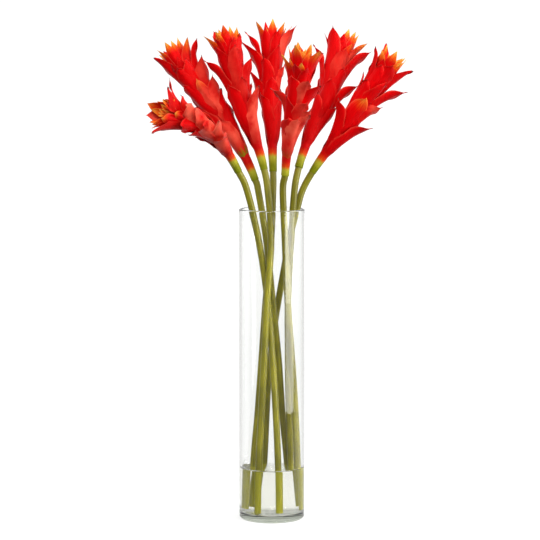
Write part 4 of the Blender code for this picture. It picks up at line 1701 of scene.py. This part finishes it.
@dataclass
class Studio:
    """The white floor, the light and the camera.

    The backdrop is what is seen straight on or through the glass. Behind, before and above are the light
    that the surround gives from those sides. The mirror values are what the glass mirrors of it inside its
    wall, and all round on its outside. The camera's pitch is in radians below the horizon.
    """

    floor_radius: float = 80.0
    eye: Point = (-0.0026, -3.4, 0.7211)
    pitch: float = 0.1037
    lens: float = 155.8
    sensor: float = 36.0
    aim: Point = (0.0, 0.0, 0.45)
    backdrop: float = 1.08
    behind: float = 0.80
    before: float = 0.62
    above: float = 1.30
    mirror_behind: float = 0.55
    mirror_before: float = 0.08
    mirror_above: float = 1.00
    mirror_outside: float = 1.00
    boxes: tuple[Softbox, ...] = (
        Softbox(
            name="right_box", azimuth=60.0, height=0.76, distance=1.00, width=0.50, tall=1.20, radiance=4.6,
            gleams=False,
        ),
        Softbox(
            name="front_box", azimuth=14.0, height=0.70, distance=1.60, width=0.70, tall=0.70, radiance=2.0,
            gleams=False,
        ),
        Softbox(
            name="right_card", azimuth=67.0, height=0.64, distance=0.70, width=0.52, tall=1.28, radiance=4.2,
            lights=False,
        ),
        Softbox(name="top_box", azimuth=-10.0, height=2.3, distance=1.6, width=0.9, tall=0.7, radiance=11.5),
    )

    def build(self, board: Material) -> None:
        """Sets up the floor, the lamps, the surrounding light and the camera.

        Args:
            board: The floor's finish.
        """
        self.build_floor(board)
        self.build_surround()
        for box in self.boxes:
            box.build(Vector(self.aim))
        self.build_camera()
        view = bpy.context.scene.view_settings
        view.view_transform = "Standard"
        view.look = "None"
        LOG.info("studio: %d lamps", len(self.boxes))

    def build_floor(self, board: Material) -> None:
        """Makes the round white floor.

        Args:
            board: Its finish.
        """
        shape = bmesh.new()
        bmesh.ops.create_circle(shape, cap_ends=True, segments=96, radius=self.floor_radius)
        mesh = bpy.data.meshes.new("studio_floor")
        shape.to_mesh(mesh)
        shape.free()
        mesh.materials.append(board)
        floor = bpy.data.objects.new("studio_floor", mesh)
        bpy.context.scene.collection.objects.link(floor)

    def build_surround(self) -> None:
        """Makes the light all round: a white backdrop, which lights the object softly from every side."""
        world = bpy.data.worlds.new("white_surround")
        world.use_nodes = True
        nodes = Nodes(world.node_tree)
        way = nodes.add("TexCoord").outputs["Generated"]
        rear = nodes.coordinate(way, "Y")
        height = nodes.ramp(nodes.coordinate(way, "Z"), 0.20, 0.80)
        light = nodes.between(height, nodes.ramp(rear, -0.7, 0.2, self.before, self.behind), self.above)
        seen, mirrored = nodes.ways()
        mirror = nodes.ramp(rear, 0.20, 0.75, self.mirror_before, self.mirror_behind)
        mirror = nodes.between(height, mirror, self.mirror_above)
        mirror = nodes.between(nodes.counted("Transmission Depth", 1), self.mirror_outside, mirror)
        hidden = nodes.between(mirrored, light, mirror)
        background = world.node_tree.nodes["Background"]
        nodes.feed(background.inputs["Strength"], nodes.between(seen, hidden, self.backdrop))
        nodes.feed(background.inputs["Color"], (1.0, 1.0, 1.0))
        bpy.context.scene.world = world

    def build_camera(self) -> None:
        """Makes the camera at the photograph's angle."""
        data = bpy.data.cameras.new("photo_camera")
        data.lens = self.lens
        data.sensor_width = self.sensor
        camera = bpy.data.objects.new("photo_camera", data)
        camera.location = self.eye
        camera.rotation_euler = (math.radians(90.0) - self.pitch, 0.0, 0.0)
        bpy.context.scene.collection.objects.link(camera)
        bpy.context.scene.camera = camera


def main() -> None:
    """Builds the vase with its water, the seven flowers and the studio."""
    logging.basicConfig(level=logging.INFO, format="%(name)s %(message)s")
    glass = ClearFinish("clear_glass_finish", (0.998, 1.0, 0.998), 1.47, (0.60, 0.66, 0.52), density=12.0)
    water = ClearFinish("clear_water_finish", (1.0, 1.0, 0.998), 1.33, (0.62, 0.60, 0.20), density=2.0)
    Vase().build(glass.build(), water.build())
    stem_skin = StemFinish().build()
    bract_skin = BractFinish().build()
    # The tuft keeps the crown's own orange and yellow, painted brighter as painted light against the shade
    # inside the crowns.
    tuft_skin = BractFinish(name="tuft_skin", orange=(1.0, 0.24, 0.014), yellow=(1.0, 0.62, 0.11)).build()
    draw = random.Random(11)
    for flower in FLOWERS:
        axis = Axis(flower)
        Stem(axis).build(stem_skin)
        Head(axis, draw).build(bract_skin)
        Tuft(axis, draw).build(tuft_skin)
    Studio().build(FloorFinish().build())


if __name__ == "__main__":
    main()
